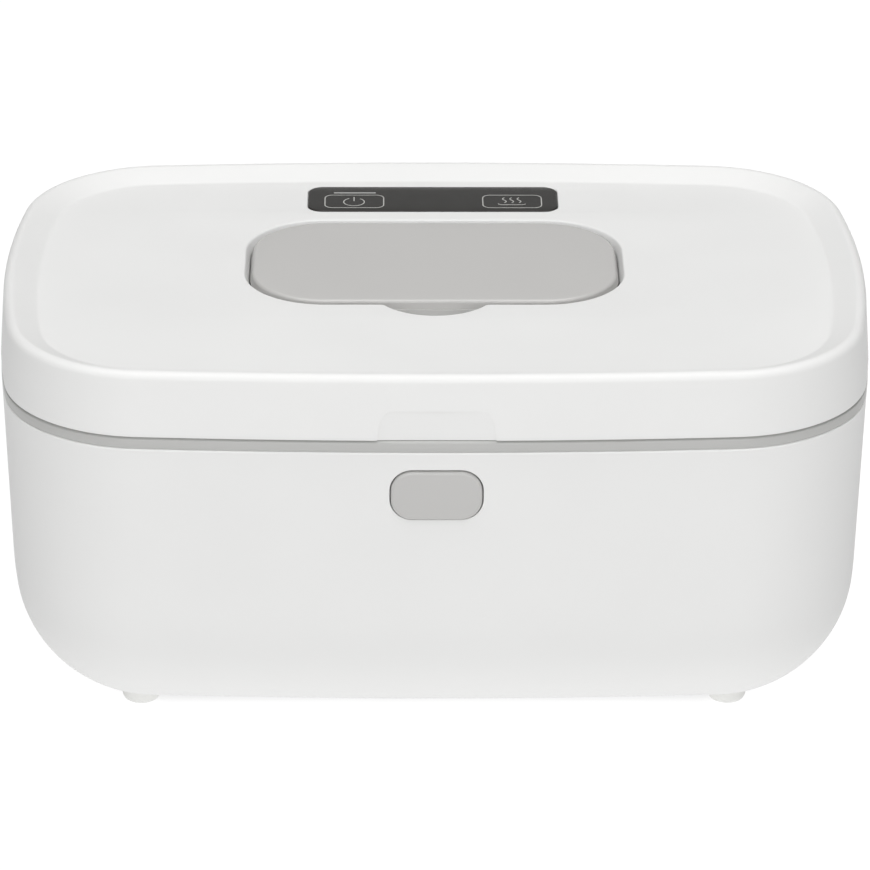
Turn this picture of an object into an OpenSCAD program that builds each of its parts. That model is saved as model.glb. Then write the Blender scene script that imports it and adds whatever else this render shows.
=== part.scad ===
// Baby wipe warmer: a heated tub in a bowl-shaped base, under a hinged lid with a dispensing flip plate.
// Frame: +X to the right, +Y to the back, +Z up; the origin lies on the table under the body's middle.
// Lengths are in millimetres. An inset is a distance inwards from the body's outline.

/* [Body] */
// Width of the body over its sides
body_w = 240; // [200:1:300]
// Depth of the body over its front and back, without the hinge
body_d = 158; // [140:1:200]
// Height of the base shell, from its underside to its rim
base_h = 89; // [80:1:130]
// Radius of the body's four upright corners
corner_r = 40; // [39:0.5:50]
// How far each side bulges past its corners
side_bow = 2.6; // [1.5:0.1:4]
// How far the front and the back bulge past their corners
front_bow = 2.4; // [1.5:0.1:4]
// Radius between the base's walls and its underside
base_r = 36; // [28:0.5:36]
// How much narrower each base wall is at the bottom than at the rim
base_draft = 3; // [0:0.5:3]
// Wall of the base shell
base_wall = 2.5; // [2:0.1:2.8]
// Height of the grey band between base and lid
band_h = 3.1; // [3:0.1:5]
// Gap between the band and the closed lid
lid_gap = 0.3; // [0.2:0.05:0.6]
// Height that the feet hold the base above the table
foot_h = 3; // [2:0.5:6]
// Radius of a foot
foot_r = 5.35; // [4:0.05:6]
// Distance of the feet from the middle, sideways
foot_x = 81.5; // [60:0.5:82]
// Distance of the feet from the middle, front to back
foot_y = 41.5; // [30:0.5:42]

/* [Lid] */
// Height of the lid, from its lower edge to its crest
lid_h = 17.9; // [17.5:0.1:30]
// Wall of the lid shell
lid_wall = 2.2; // [1.8:0.1:2.6]
// How much narrower the lid is at its crest than at its lower edge
lid_draft = 1.1; // [0:0.1:2]
// Radius of the lid's crest
crest_r = 3; // [2:0.1:4]
// Width of the slope inside the crest
slope_w = 6.2; // [4:0.1:9]
// Depth of the recessed field below the crest
field_drop = 3.1; // [1:0.1:4]
// Thickness of the inner lid cover
liner_t = 1.8; // [1.4:0.1:2.4]
// Wall of the well under the flip plate
well_wall = 1.6; // [1.2:0.1:2]

/* [Flip plate] */
// Width of the flip plate
plate_w = 102.4; // [90:0.1:120]
// Depth of the flip plate
plate_d = 58.7; // [56:0.1:64]
// Corner radius of the flip plate
plate_r = 21; // [18:0.5:27]
// Distance of the flip plate's middle behind the body's middle
plate_y = 8.8; // [4:0.1:9]
// Thickness of the flip plate's grey cover
plate_t = 2.1; // [1.8:0.1:2.5]
// Thickness of the white carrier under the cover
carrier_t = 1.9; // [1.8:0.1:2.5]
// Gap round the flip plate in the lid
plate_gap = 1.5; // [1.4:0.1:2]
// Distance of the flip plate's hinge in front of its back edge
flip_back = 9.2; // [8.8:0.1:9.4]
// Radius of the finger notch
notch_r = 19.4; // [16:0.1:24]
// How far the finger notch reaches in front of the flip plate's opening
notch_out = 7.7; // [5:0.1:9]
// Width of the dispensing slot
slot_w = 56; // [40:1:64]
// Depth of the dispensing slot, front to back
slot_d = 12; // [8:0.5:16]

/* [Touch panel] */
// Width of the touch panel
lens_w = 71.4; // [60:0.1:90]
// Depth of the touch panel
lens_d = 18.8; // [14:0.1:20]
// Distance of the touch panel's middle behind the body's middle
lens_y = 55.4; // [53:0.1:57]
// Distance of each key from the middle of the touch panel
key_x = 22.6; // [16:0.1:26]

/* [Release button] */
// Width of the release button
button_w = 25.2; // [20:0.1:30]
// Height of the release button
button_h = 14.9; // [12:0.1:18]
// Corner radius of the release button
button_r = 6; // [2:0.1:6]
// Distance of the button's middle below the base's rim
button_down = 13.35; // [13:0.05:20]
// How far the button travels
button_travel = 1.8; // [1:0.1:1.8]
// Gap round the button in the base
button_gap = 0.5; // [0.3:0.05:0.8]

/* [Tub and heater] */
// Wall of the wipe tub
tub_wall = 1.8; // [1.4:0.1:2.4]
// Inset of the tub's outer wall at its top
tub_inset = 16; // [15.8:0.1:17]
// How much narrower the tub is at its bottom
tub_draft = 3; // [0:0.5:4]
// Radius between the tub's walls and floor
tub_r = 14; // [8:0.5:16]
// Height of the tub's underside above the base's underside
tub_lift = 21; // [20.5:0.5:30]
// Thickness of the aluminium heat plate
heat_plate_t = 1; // [0.8:0.1:2]
// Thickness of the heater film
film_t = 0.6; // [0.3:0.1:1]
// Thickness of the insulation pad
pad_t = 5; // [3:0.5:5.5]

/* [Hidden] */
$fn = 48;
fit = 0.3;         // clearance between parts that only pass each other
seat = 0.05;       // clearance between a part and the hole or pocket that holds it
hair = 0.03;       // step between surfaces that would otherwise coincide
lap_a = 1.5;       // angle by which the corner arcs run into their neighbours

// The outline: four corner arcs joined by four shallow side arcs, each tangent to its neighbours
half_w = body_w / 2;
half_d = body_d / 2;
corner_x = half_w - side_bow - corner_r;
corner_y = half_d - front_bow - corner_r;
side_u = half_w - corner_x;
front_u = half_d - corner_y;
side_r = (pow(corner_y, 2) + pow(side_u, 2) - pow(corner_r, 2)) / (2 * (side_u - corner_r));
front_r = (pow(corner_x, 2) + pow(front_u, 2) - pow(corner_r, 2)) / (2 * (front_u - corner_r));
side_cx = half_w - side_r;
front_cy = half_d - front_r;
side_a = atan2(corner_y, corner_x - side_cx);
front_a = atan2(corner_x, corner_y - front_cy);

// Heights above the table
base_z = foot_h;
rim_z = base_z + base_h;
band_z = rim_z + band_h;
lid_z = band_z + lid_gap;
top_z = lid_z + lid_h;
field_z = top_z - field_drop;
deck_z = rim_z - 0.5;
ledge_z = deck_z + tub_wall;
flange_z = ledge_z + 1.6;
floor_z = base_z + base_wall;
tub_z = base_z + tub_lift;
heat_z = tub_z - heat_plate_t;
film_z = heat_z - film_t;
pad_z = film_z - pad_t;
liner_z = lid_z + 1.2;
liner_top = liner_z + liner_t;

// Tub flange and heater
ledge_in = tub_inset - 0.5;
flange_in = tub_inset - 5;
flange_w = body_w - 2 * flange_in - 2 * side_bow;
flange_d = body_d - 2 * flange_in - 2 * front_bow;
flange_r = corner_r - flange_in;
tub_side = tub_inset - flange_in;
flat_in = tub_side + tub_draft + tub_r;
heat_w = flange_w - 2 * flat_in - 8.8;
heat_d = flange_d - 2 * flat_in - 3.2;
pad_post = [heat_w / 2 - 6, heat_d / 2 - 20];

// Main hinge: its axis lies on the back of the outline, in the gap under the lid
hinge_y = half_d;
hinge_z = (band_z + lid_z) / 2;
knuckle_r = 2.8;
hinge_pin_r = 1.25;
hinge_x = 55;
ear_w = 5;
knuckle_w = 11.4;
station_w = 2 * ear_w + knuckle_w + 2 * fit;
duct_w = 14;
duct_r = 1.6;
lead_r = 1.1;
duct_x = 9;

// Flip plate
plate_z = field_z - 0.2;
cover_z = plate_z - plate_t;
carrier_z = cover_z - carrier_t;
well_w = plate_w + 2 * plate_gap;
well_d = plate_d + 2 * plate_gap;
well_r = plate_r + plate_gap;
flip_y = plate_y + plate_d / 2 - flip_back;
flip_z = cover_z + 0.4;
boss_r = 1.2;
flip_pin_r = 0.6;
flip_ear_x = 39.3;
flip_ear_w = 3;
flip_boss_w = 6;
barrel_w = flip_ear_w + fit + flip_boss_w;
notch_y = plate_y - well_d / 2 - notch_out + notch_r;
notch_z = field_z - 6.7;

// Dispensing neck of the liner
neck_w = 84;
neck_d = 38;
neck_r = 17;
neck_y = 5;
neck_wall = 2;
neck_z = carrier_z - 1.8;
insert_t = 2;
insert_in = neck_wall + 0.1;
step_z = neck_z - insert_t - 0.7;

// Touch panel
lens_t = 1.2;
lens_r = 4;
lens_z = field_z - 1.1;
board_t = 1.2;
bar_w = 12.4;
bar_d = 1.4;
bar_y = lens_y + 5.5;
bar_x = -key_x + 0.1;
touch_z = field_z - lid_wall - 0.3 - board_t;
touch_w = lens_w - 3.4;
touch_d = lens_d - 3.8;
touch_screw_x = lens_w / 2 - 4.7;
window_w = lens_w - 13;
window_d = lens_d - 5;

// Thumb recess under the lid's front edge: the right half of its outline, from its foot up
thumb_depth = 0.7;
thumb_edge = [[16, 0], [15.2, 6], [13.7, 8.4], [12, 9.1]];

// Release button and latch
button_z = rim_z - button_down;
button_face = half_d + 0.3;
wall_in = half_d - base_wall - 0.6;
flange_y = wall_in - 0.4;
flange_t = 1.4;
slider_t = 2.6;
slider_y = flange_y - flange_t;
tongue_y = slider_y - slider_t;
tongue_t = 1.8;
tongue_w = 14;
nose_len = 1.4;
catch_t = 0.8;
nose_z = lid_z + 2.3;
nose_h = 1.6;
guide_back = 5;
guide_t = 1.4;
guide_in = tongue_y - guide_back;
guide_w = button_w + 4;
guide_x = button_w / 2 + 7.4;
guide_seat = wall_in - 5;
spring_r = 3;
wire_r = 0.3;

// Corner screws of the trim ring and the liner
ring_screw_inset = 6.2;
liner_screw_inset = 8;

// Base cover, board and inlet
cover_w = body_w - 106.6;
cover_d = body_d - 94.6;
cover_t = 2.2;
frame_t = 2.4;
cover_screw = [cover_w / 2 - 2.9, cover_d / 2 - 7.7];
ledge_w = 5.5;
board_w = 110;
board_d = 46;
board_z = floor_z + 3.5;
main_board_t = 1.6;
board_top = board_z + main_board_t;
plug_z = board_top + 3;
board_hole = [50, 18];
inlet_x = 45;
inlet_z = 48;
inlet_r = 4;
inlet_flange_r = 6.6;
inlet_seat = half_d - 3.4;
inlet_pad = inlet_seat - 3;

// Routes of the inner leads, chosen by hand along the free space between tub and base
inlet_back = inlet_seat - 9.6;
inlet_drop = inlet_back - 2.2;
inlet_route = [
    [inlet_x, inlet_back, inlet_z], [inlet_x, inlet_back - 1.6, inlet_z],
    [inlet_x, inlet_drop, inlet_z - 1.2], [inlet_x, inlet_drop, inlet_z - 17],
    [43, inlet_drop - 11.8, 16], [38, 36, plug_z], [38, 24, plug_z]
];
heater_route = [[64, 0, film_z - 0.2], [64, 0, 15], [56, 0, plug_z], [51, 0, plug_z]];
sensor_z = film_z - 2.2;
sensor_route = [[-27, 3, sensor_z], [-20, 3, sensor_z], [-14, 4, 15.4], [-14, 8, plug_z], [-14, 12, plug_z]];
duct_in = [-duct_x, hinge_y - 4.8, hinge_z - 9.5];
duct_mid = [-duct_x, hinge_y, hinge_z];
duct_end = [0, hinge_y, hinge_z];
base_route = [
    [-20, 24, plug_z], [-20, 36, plug_z], [-20, half_d - 27, 15.5], [-20, half_d - 12.5, 32],
    [-12, half_d - 6.2, 60],
    duct_in, duct_mid, duct_end
];
lid_in = [duct_x, hinge_y - 5.6, hinge_z + 7.8];
lid_mid = [duct_x, hinge_y, hinge_z];
lid_route = [duct_end, lid_mid, lid_in, [duct_x, half_d - 13, 104.4], [duct_x, lens_y + 4.6, touch_z - 1.2]];

// ---- Outline and wall helpers ----

// n points of an arc, without its last one
function arc(c, r, a0, a1, n) = [
    for (i = [0 : n - 1]) let (a = a0 + (a1 - a0) * i / n) [c[0] + r * cos(a), c[1] + r * sin(a)]
];

// The body's outline drawn in by an inset, as a closed list of points
function half_outline(inset) = concat(
    arc([side_cx, 0], side_r - inset, -side_a, side_a, 8),
    arc([corner_x, corner_y], corner_r - inset, side_a, 90 - front_a, 12),
    arc([0, front_cy], front_r - inset, 90 - front_a, 90 + front_a, 8),
    arc([-corner_x, corner_y], corner_r - inset, 90 + front_a, 180 - side_a, 12)
);
function outline(inset) = concat(half_outline(inset), [for (p = half_outline(inset)) -p]);

// Points of a quarter round from angle a0 to a1 in a wall's profile
function bend(c, r, a0, a1, n) = [
    for (i = [0 : n]) let (a = a0 + (a1 - a0) * i / n) [c[0] + r * cos(a), c[1] + r * sin(a)]
];

// A wall's profile, points of [inset, z], carried along one arc of the outline
module arc_wall(centre, r, from, span, profile) {
    translate(centre)
        rotate([0, 0, from])
            rotate_extrude(angle = span, $fn = r > 200 ? 720 : 96)
                polygon([for (p = profile) [r - p[0], p[1]]]);
}

// A closed profile drawn in by d along its edges
function turn_sign(p) = sign([for (i = [0 : len(p) - 1]) 1] *
    [for (i = [0 : len(p) - 1]) let (q = p[(i + 1) % len(p)]) p[i][0] * q[1] - q[0] * p[i][1]]);
function drawn_in(p, d) = let (n = len(p), s = turn_sign(p) * d) [
    for (i = [0 : n - 1])
        let (a = p[i] - p[(i + n - 1) % n], b = p[(i + 1) % n] - p[i], u = a / norm(a), v = b / norm(b))
            p[i] + s / (1 + u * v) * [-u[1] - v[1], u[0] + v[0]]
];

// A wall's profile carried all round the body. The corners run a little way into their neighbours
// and are a hair thinner all over, so that no two surfaces coincide where they join.
module around(profile) {
    span = 90 - side_a - front_a + 2 * lap_a;
    thinner = drawn_in(profile, hair);
    for (turn = [0, 180]) rotate([0, 0, turn]) {
        arc_wall([side_cx, 0, 0], side_r, -side_a, 2 * side_a, profile);
        arc_wall([0, front_cy, 0], front_r, 90 - front_a, 2 * front_a, profile);
        arc_wall([corner_x, corner_y, 0], corner_r, side_a - lap_a, span, thinner);
        arc_wall([-corner_x, corner_y, 0], corner_r, 90 + front_a - lap_a, span, thinner);
    }
}

// A flat sheet inside the outline
module sheet(inset, z, h) {
    translate([0, 0, z])
        linear_extrude(h)
            polygon(outline(inset));
}

// A rectangle with round corners
module rounded(w, d, r) {
    square([w - 2 * r, d], center = true);
    square([w, d - 2 * r], center = true);
    for (x = [-1, 1], y = [-1, 1])
        translate([x * (w / 2 - r), y * (d / 2 - r)])
            circle(r);
}

// A plate with round corners
module slab(w, d, r, h) {
    linear_extrude(h) rounded(w, d, r);
}

// An edge profile, points of [inset, z], carried round a rectangle with round corners
module edge_sweep(w, d, r, profile) {
    section = [for (p = profile) [r - p[0], p[1]]];
    for (turn = [0, 180]) rotate([0, 0, turn]) {
        translate([0, d / 2 - r, 0])
            rotate([90, 0, 90])
                linear_extrude(w - 2 * r, center = true)
                    polygon(section);
        rotate([0, 0, -90])
            translate([0, w / 2 - r, 0])
                rotate([90, 0, 90])
                    linear_extrude(d - 2 * r, center = true)
                        polygon(section);
        for (c = [[1, 0], [-1, 90]])
            translate([c[0] * (w / 2 - r), d / 2 - r, 0])
                rotate([0, 0, c[1]])
                    rotate_extrude(angle = 90)
                        polygon(section);
    }
}

// A plate whose upper edge is rounded
module soft_plate(w, d, r, h, edge) {
    top_edge = bend([edge, h - edge], edge, 180, 90, 4);
    edge_sweep(w, d, r, concat([[r, 0], [0, 0]], top_edge, [[r, h]]));
    translate([r - w / 2, r - d / 2, 0])
        cube([w - 2 * r, d - 2 * r, h]);
}

// A round lead along straight runs with ball corners
module lead(points, r) {
    for (i = [0 : len(points) - 2]) {
        run = points[i + 1] - points[i];
        translate(points[i])
            rotate([0, acos(run[2] / norm(run)), atan2(run[1], run[0])]) {
                cylinder(r = r, h = norm(run));
                if (i < len(points) - 2) translate([0, 0, norm(run)]) sphere(r + 0.08);
            }
    }
}

// A square passage between two points
module passage(from, to, w) {
    run = to - from;
    translate(from)
        rotate([0, acos(run[2] / norm(run)), atan2(run[1], run[0])])
            translate([-w / 2, -w / 2, 0])
                cube([w, w, norm(run)]);
}

// A cylinder along X from its middle
module bar(r, w) {
    rotate([0, 90, 0]) cylinder(r = r, h = w, center = true);
}

// A screw with its head's top at the origin, pointing down; its head has a cross recess
module screw(r, length, head_r, head_h) {
    difference() {
        translate([0, 0, -head_h]) cylinder(r = head_r, h = head_h);
        for (turn = [0, 90]) rotate([0, 0, turn])
            cube([head_r * 1.1, head_r * 0.28, head_h * 0.9], center = true);
    }
    translate([0, 0, -length]) cylinder(r = r, h = length - head_h);
}

// Places at the four corners, on the diagonal of each corner arc
module at_corners(inset) {
    out = (corner_r - inset) * cos(45);
    for (x = [-1, 1], y = [-1, 1])
        translate([x * (corner_x + out), y * (corner_y + out), 0])
            children();
}

// ---- Base ----

// Inset of the base's outer face, or of a face a wall's thickness inside it
function base_inset(z, t) = t
    + base_draft * (1 - (z - base_z) / base_h)
    + (z < base_z + base_r ? base_curve(base_z + base_r - z, base_r - t) : 0);
function base_curve(drop, r) = r - sqrt(max(0, pow(r, 2) - pow(drop, 2)));
curve_steps = 14;
function base_wall_points(t) = [
    for (i = [0 : curve_steps])
        let (z = base_z + base_r - (base_r - t) * sin(90 * i / curve_steps)) [base_inset(z, t), z]
];
slab_inset = base_draft + base_r + 0.25;

module base_bowl() {
    around(concat(
        [[base_wall, rim_z], [0.6, rim_z], [0.15, rim_z - 0.25], [0, rim_z - 0.8]],
        base_wall_points(0),
        [[slab_inset + 0.25, base_z], [slab_inset + 0.25, floor_z]],
        [for (i = [curve_steps : -1 : 0]) base_wall_points(base_wall)[i]]
    ));
    sheet(slab_inset - 1, base_z + hair, base_wall - 2 * hair);
}

post_r = 3.8;
module ring_post(h, r) {
    at_corners(ring_screw_inset)
        translate([0, 0, deck_z - h])
            cylinder(r = r, h = h);
}

// Barrels on the base: two ears at each side and the left half of the cable duct
module base_barrels() {
    for (s = [-1, 1], e = [-1, 1])
        base_barrel(s * hinge_x + e * (knuckle_w / 2 + fit + ear_w / 2), ear_w);
    base_barrel(-duct_w / 2 - fit / 4, duct_w - fit / 2);
}

module base_barrel(x, w) {
    translate([x, hinge_y, hinge_z]) {
        bar(knuckle_r, w);
        translate([-w / 2, -knuckle_r - 0.6, -11])
            cube([w, knuckle_r * 2 + 0.6 - 0.6, 11]);
    }
}

module base_shell() {
    color("whitesmoke") difference() {
        union() {
            base_bowl();
            base_barrels();
            ring_post(17, post_r);
            // frame and screw bosses round the service opening
            translate([0, 0, floor_z - 0.5])
                slab(cover_w + 6.6, cover_d + 6.6, 10, frame_t + 0.5);
            for (x = [-1, 1], y = [-1, 1]) {
                translate([x * cover_screw[0], y * cover_screw[1], floor_z - 0.5])
                    cylinder(r = 3, h = 7);
                // posts that carry the insulation pad
                translate([x * pad_post[0], y * pad_post[1], floor_z - 0.5])
                    cylinder(r = 3, h = pad_z - floor_z + 0.5);
                // seats of the feet
                translate([x * foot_x, y * foot_y, floor_z - 0.5])
                    cylinder(r = foot_r + 2, h = 3.5);
            }
            // pad behind the power inlet
            translate([inlet_x, inlet_pad, inlet_z])
                rotate([-90, 0, 0])
                    cylinder(r = 9, h = 3);
            // bosses of the button guide
            for (s = [-1, 1])
                translate([s * guide_x, -guide_seat, button_z])
                    rotate([90, 0, 0])
                        cylinder(r = 2.8, h = wall_in - guide_seat + 1);
        }
        // service opening, with the ledge that the cover lies on
        translate([0, 0, base_z - 1]) {
            slab(cover_w + 2 * fit, cover_d + 2 * fit, 8, base_wall + 1);
            slab(cover_w - 2 * ledge_w, cover_d - 2 * ledge_w, 6, 20);
        }
        for (x = [-1, 1], y = [-1, 1]) {
            translate([x * cover_screw[0], y * cover_screw[1], base_z])
                cylinder(r = 1.2 + seat, h = 8);
            translate([x * foot_x, y * foot_y, -1])
                foot_shape(seat);
        }
        ring_post_holes();
        // button hole
        translate([0, -half_d - 5, button_z])
            rotate([-90, 0, 0])
                slab(button_w + 2 * button_gap, button_h + 2 * button_gap, button_r + button_gap, 12);
        for (s = [-1, 1])
            translate([s * guide_x, -guide_seat + 1, button_z])
                rotate([90, 0, 0])
                    cylinder(r = 1 + seat, h = 5);
        // power inlet: flange pocket and hole
        translate([inlet_x, inlet_seat, inlet_z])
            rotate([-90, 0, 0]) {
                cylinder(r = inlet_flange_r + seat, h = 10);
                translate([0, 0, -6]) cylinder(r = inlet_r + seat, h = 8);
            }
        // hinge bores and cable duct
        for (s = [-1, 1])
            translate([s * hinge_x, hinge_y, hinge_z])
                bar(hinge_pin_r + 0.01, station_w + 1);
        passage(duct_in - (duct_mid - duct_in) * 0.4, duct_mid, 2 * duct_r - 0.3);
        translate([-duct_x - duct_r, hinge_y, hinge_z])
            rotate([0, 90, 0])
                cylinder(r = duct_r, h = duct_x + duct_r + 1);
        lid_knuckle_room();
    }
}

// Room for the lid's barrels as they turn
module lid_knuckle_room() {
    for (s = [-1, 1])
        translate([s * hinge_x, hinge_y, hinge_z])
            bar(knuckle_r + fit, knuckle_w + 2 * fit);
    translate([duct_w / 2 + 0.3, hinge_y, hinge_z])
        bar(knuckle_r + fit, duct_w + 0.6);
}

module ring_post_holes() {
    at_corners(ring_screw_inset)
        translate([0, 0, deck_z - 12])
            cylinder(r = 1.1 + seat, h = 14);
}

module base_cover() {
    color("whitesmoke") difference() {
        union() {
            translate([0, 0, floor_z - cover_t])
                slab(cover_w, cover_d, 8 - fit, cover_t);
            for (x = [-1, 1], y = [-1, 1])
                translate([x * board_hole[0], y * board_hole[1], floor_z - 0.2])
                    cylinder(r = 2.6, h = board_z - floor_z + 0.2);
        }
        for (x = [-1, 1], y = [-1, 1]) {
            translate([x * cover_screw[0], y * cover_screw[1], 0]) {
                cylinder(r = 1.2 + seat, h = 20);
                cylinder(r = 2.3, h = floor_z - cover_t + 1.1);
            }
            translate([x * board_hole[0], y * board_hole[1], floor_z - 0.6])
                cylinder(r = 1 + seat, h = 10);
        }
        // vent slots
        for (x = [-24 : 8 : 24])
            translate([x, 0, 0])
                slab(2.4, 24, 1, 20);
    }
}

module cover_screws() {
    color("silver")
        for (x = [-1, 1], y = [-1, 1])
            translate([x * cover_screw[0], y * cover_screw[1], floor_z - cover_t + 0.1])
                rotate([180, 0, 0])
                    screw(1.2, 7, 2.2, 1);
}

// A foot: a low dome cut flat, with a spigot in the base; grown all round by a clearance
module foot_shape(grow) {
    translate([0, 0, 1]) {
        rotate_extrude() polygon([
            [0, 0], [foot_r - 1.3, 0], [foot_r - 0.5, 0.5], [foot_r - 0.1, 1.5],
            [foot_r + grow, 2.4], [foot_r + grow, foot_h + 1.9], [0, foot_h + 1.9]
        ]);
        translate([0, 0, foot_h + 1.5]) cylinder(r = 2.2 + grow, h = 3);
    }
}

module foot(x, y) {
    color("white")
        translate([x * foot_x, y * foot_y, -1])
            foot_shape(0);
}
module foot_front_left() { foot(-1, -1); }
module foot_front_right() { foot(1, -1); }
module foot_back_left() { foot(-1, 1); }
module foot_back_right() { foot(1, 1); }

// ---- Trim ring and tub ----

module trim_ring() {
    color("darkgray") difference() {
        around([
            [0.1, rim_z], [0.1, band_z - 0.9], [0.9, band_z],
            [flange_in - fit, band_z], [flange_in - fit, ledge_z], [ledge_in, ledge_z], [ledge_in, deck_z],
            [4.5, deck_z], [4.5, rim_z - 4], [base_wall + 0.4, rim_z - 4], [base_wall + 0.4, rim_z]
        ]);
        ring_post(17, post_r + fit);
        at_corners(ring_screw_inset) {
            translate([0, 0, band_z - 1.7]) cylinder(r = 2.8, h = 3);
            translate([0, 0, rim_z - 10]) cylinder(r = 1.1 + seat, h = 14);
        }
        // passage of the latch tongue
        translate([-tongue_w / 2 - 0.8, -tongue_y - tongue_t, 0])
            translate([0, -nose_len - 1, rim_z - 10])
                cube([tongue_w + 1.6, tongue_t + nose_len + 1.3 + slider_t + button_travel, 20]);
        // gaps in the band for the hinge barrels and the duct
        for (s = [-1, 1])
            translate([s * hinge_x, half_d, rim_z])
                cube([station_w + 2 * fit, 7.6, 20], center = true);
        translate([0, half_d, rim_z])
            cube([2 * duct_w + 3 * fit, 14.4, 20], center = true);
        // room for the button guide and its bosses under the deck
        translate([-guide_x - 4, -half_d + base_wall, 0])
            cube([2 * guide_x + 8, 12, deck_z]);
    }
}

module ring_screws() {
    color("silver")
        at_corners(ring_screw_inset)
            translate([0, 0, band_z - 0.2])
                screw(1.1, 12, 2.5, 1.5);
}

// The tub's walls are straight, so it is swept round a plain rectangle inside the trim ring
module wipe_tub() {
    tub_profile = concat(
        [[0, flange_z], [0, ledge_z], [tub_side, ledge_z]],
        bend([flat_in, tub_z + tub_r], tub_r, 180, 270, 8),
        [[flange_r - 2, tub_z], [flange_r - 2, tub_z + tub_wall]],
        bend([flat_in, tub_z + tub_r], tub_r - tub_wall, 270, 180, 8),
        [[tub_side + tub_wall, flange_z]]
    );
    color("white") {
        edge_sweep(flange_w, flange_d, flange_r, tub_profile);
        translate([0, 0, tub_z])
            slab(flange_w - 2 * flange_r + 6, flange_d - 2 * flange_r + 6, 3, tub_wall);
    }
}

// ---- Heater ----

fuse_at = [-32, 3];
probe_at = [-32, -4];
pad_hole = [[-45, -9], [35, 18]];

module heat_plate() {
    color("silver")
        translate([0, 0, heat_z])
            slab(heat_w, heat_d, 8, heat_plate_t);
}

module heater_film() {
    color("darkorange")
        translate([0, 0, film_z])
            slab(heat_w - 10, heat_d - 8, 6, film_t);
}

module insulation_pad() {
    color("lightgray") difference() {
        translate([0, 0, pad_z])
            slab(heat_w + 2, heat_d + 2, 8, pad_t);
        translate([pad_hole[0][0], pad_hole[0][1], 0])
            cube([pad_hole[1][0], pad_hole[1][1], film_z + 1]);
        translate([heater_route[0][0] - 3, -3, 0])
            cube([6, 6, film_z + 1]);
    }
}

module thermal_fuse() {
    color("beige")
        translate([fuse_at[0], fuse_at[1], film_z - 2.1])
            bar(2, 10);
}

module temperature_sensor() {
    color("dimgray")
        translate([probe_at[0], probe_at[1], film_z - 1.5])
            bar(1.4, 8);
}

// A saddle that presses the fuse and the sensor against the film
module sensor_clip() {
    clip_z = film_z - 4.8;
    color("gold") {
        translate([-43, -8, clip_z])
            cube([22, 15, 0.5]);
        for (x = [-43, -21.6])
            translate([x, -8, clip_z])
                cube([0.6, 8, film_z - clip_z]);
    }
}

// ---- Electronics ----

module main_board() {
    color("darkgreen") difference() {
        translate([0, 0, board_z])
            slab(board_w, board_d, 2, main_board_t);
        for (x = [-1, 1], y = [-1, 1])
            translate([x * board_hole[0], y * board_hole[1], 0])
                cylinder(r = 1 + seat, h = 30);
    }
}

// Sockets of the leads, the controller, a relay, a coil and two capacitors
module board_parts() {
    color("dimgray") {
        for (p = [[inlet_route[6][0], 20.4], [base_route[0][0], 20.4]])
            translate([p[0] - 4, p[1] - 3.4, board_top]) cube([8, 7, 5.5]);
        translate([44, -4, board_top]) cube([7, 8, 5.5]);
        translate([-18, 12, board_top]) cube([8, 7, 5.5]);
        translate([-6, -12, board_top]) cube([12, 12, 1.6]);
        translate([16, -16, board_top]) cube([18, 12, 5.5]);
        for (x = [-40, -28])
            translate([x, -12, board_top]) cylinder(r = 4, h = 6);
        translate([26, 8, board_top]) cylinder(r = 5, h = 4);
    }
}

module board_screws() {
    color("silver")
        for (x = [-1, 1], y = [-1, 1])
            translate([x * board_hole[0], y * board_hole[1], board_top + 1.2])
                screw(1, 6, 2, 1.2);
}

module power_inlet() {
    color("black")
        translate([inlet_x, inlet_seat, inlet_z])
            rotate([-90, 0, 0]) {
                difference() {
                    union() {
                        cylinder(r = inlet_flange_r, h = 1.1);
                        translate([0, 0, -9.6]) cylinder(r = inlet_r, h = 9.8);
                    }
                    translate([0, 0, -7.9]) cylinder(r = 2.75, h = 12);
                }
                translate([0, 0, -8.2]) cylinder(r = 1, h = 8.3);
            }
}

module inlet_nut() {
    color("silver")
        translate([inlet_x, inlet_pad, inlet_z])
            rotate([90, 0, 0])
                difference() {
                    cylinder(r = 7, h = 2.2, $fn = 6);
                    translate([0, 0, -1]) cylinder(r = inlet_r + seat, h = 5);
                }
}

module inlet_lead() {
    color("black") lead(inlet_route, 1.3);
}
module heater_lead() {
    color("red") lead(heater_route, 1);
}
module sensor_lead() {
    color("yellow") lead(sensor_route, 0.9);
}
module base_lead() {
    color("black") lead(base_route, lead_r);
}

// ---- Release button and latch ----

// Turns a shape drawn flat so that its height runs from the front towards the back
module facing_front(y) {
    translate([0, y, button_z]) rotate([90, 0, 0]) children();
}

module release_button() {
    color("darkgray") {
        facing_front(-flange_y)
            soft_plate(button_w, button_h, button_r, button_face - flange_y, 1.2);
        facing_front(-slider_y)
            slab(button_w + 3, button_h + 3, button_r, flange_t);
    }
}

// Plate behind the button, with the tongue that carries the latch nose up into the lid
module latch_slider() {
    color("white") {
        facing_front(-tongue_y)
            slab(button_w, button_h, 2, slider_t);
        translate([-tongue_w / 2, -tongue_y - tongue_t, button_z])
            cube([tongue_w, tongue_t, nose_z + nose_h - button_z]);
        translate([-tongue_w / 2 + 1, -tongue_y - tongue_t, nose_z])
            rotate([90, 0, 90])
                linear_extrude(tongue_w - 2)
                    polygon([[0, 0], [-nose_len, 0], [-nose_len, 0.5], [-0.4, nose_h], [0, nose_h]]);
        // peg that centres the spring
        facing_front(-guide_in - guide_back + 1.6)
            cylinder(r = spring_r - 0.8, h = 1.8);
    }
}

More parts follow.
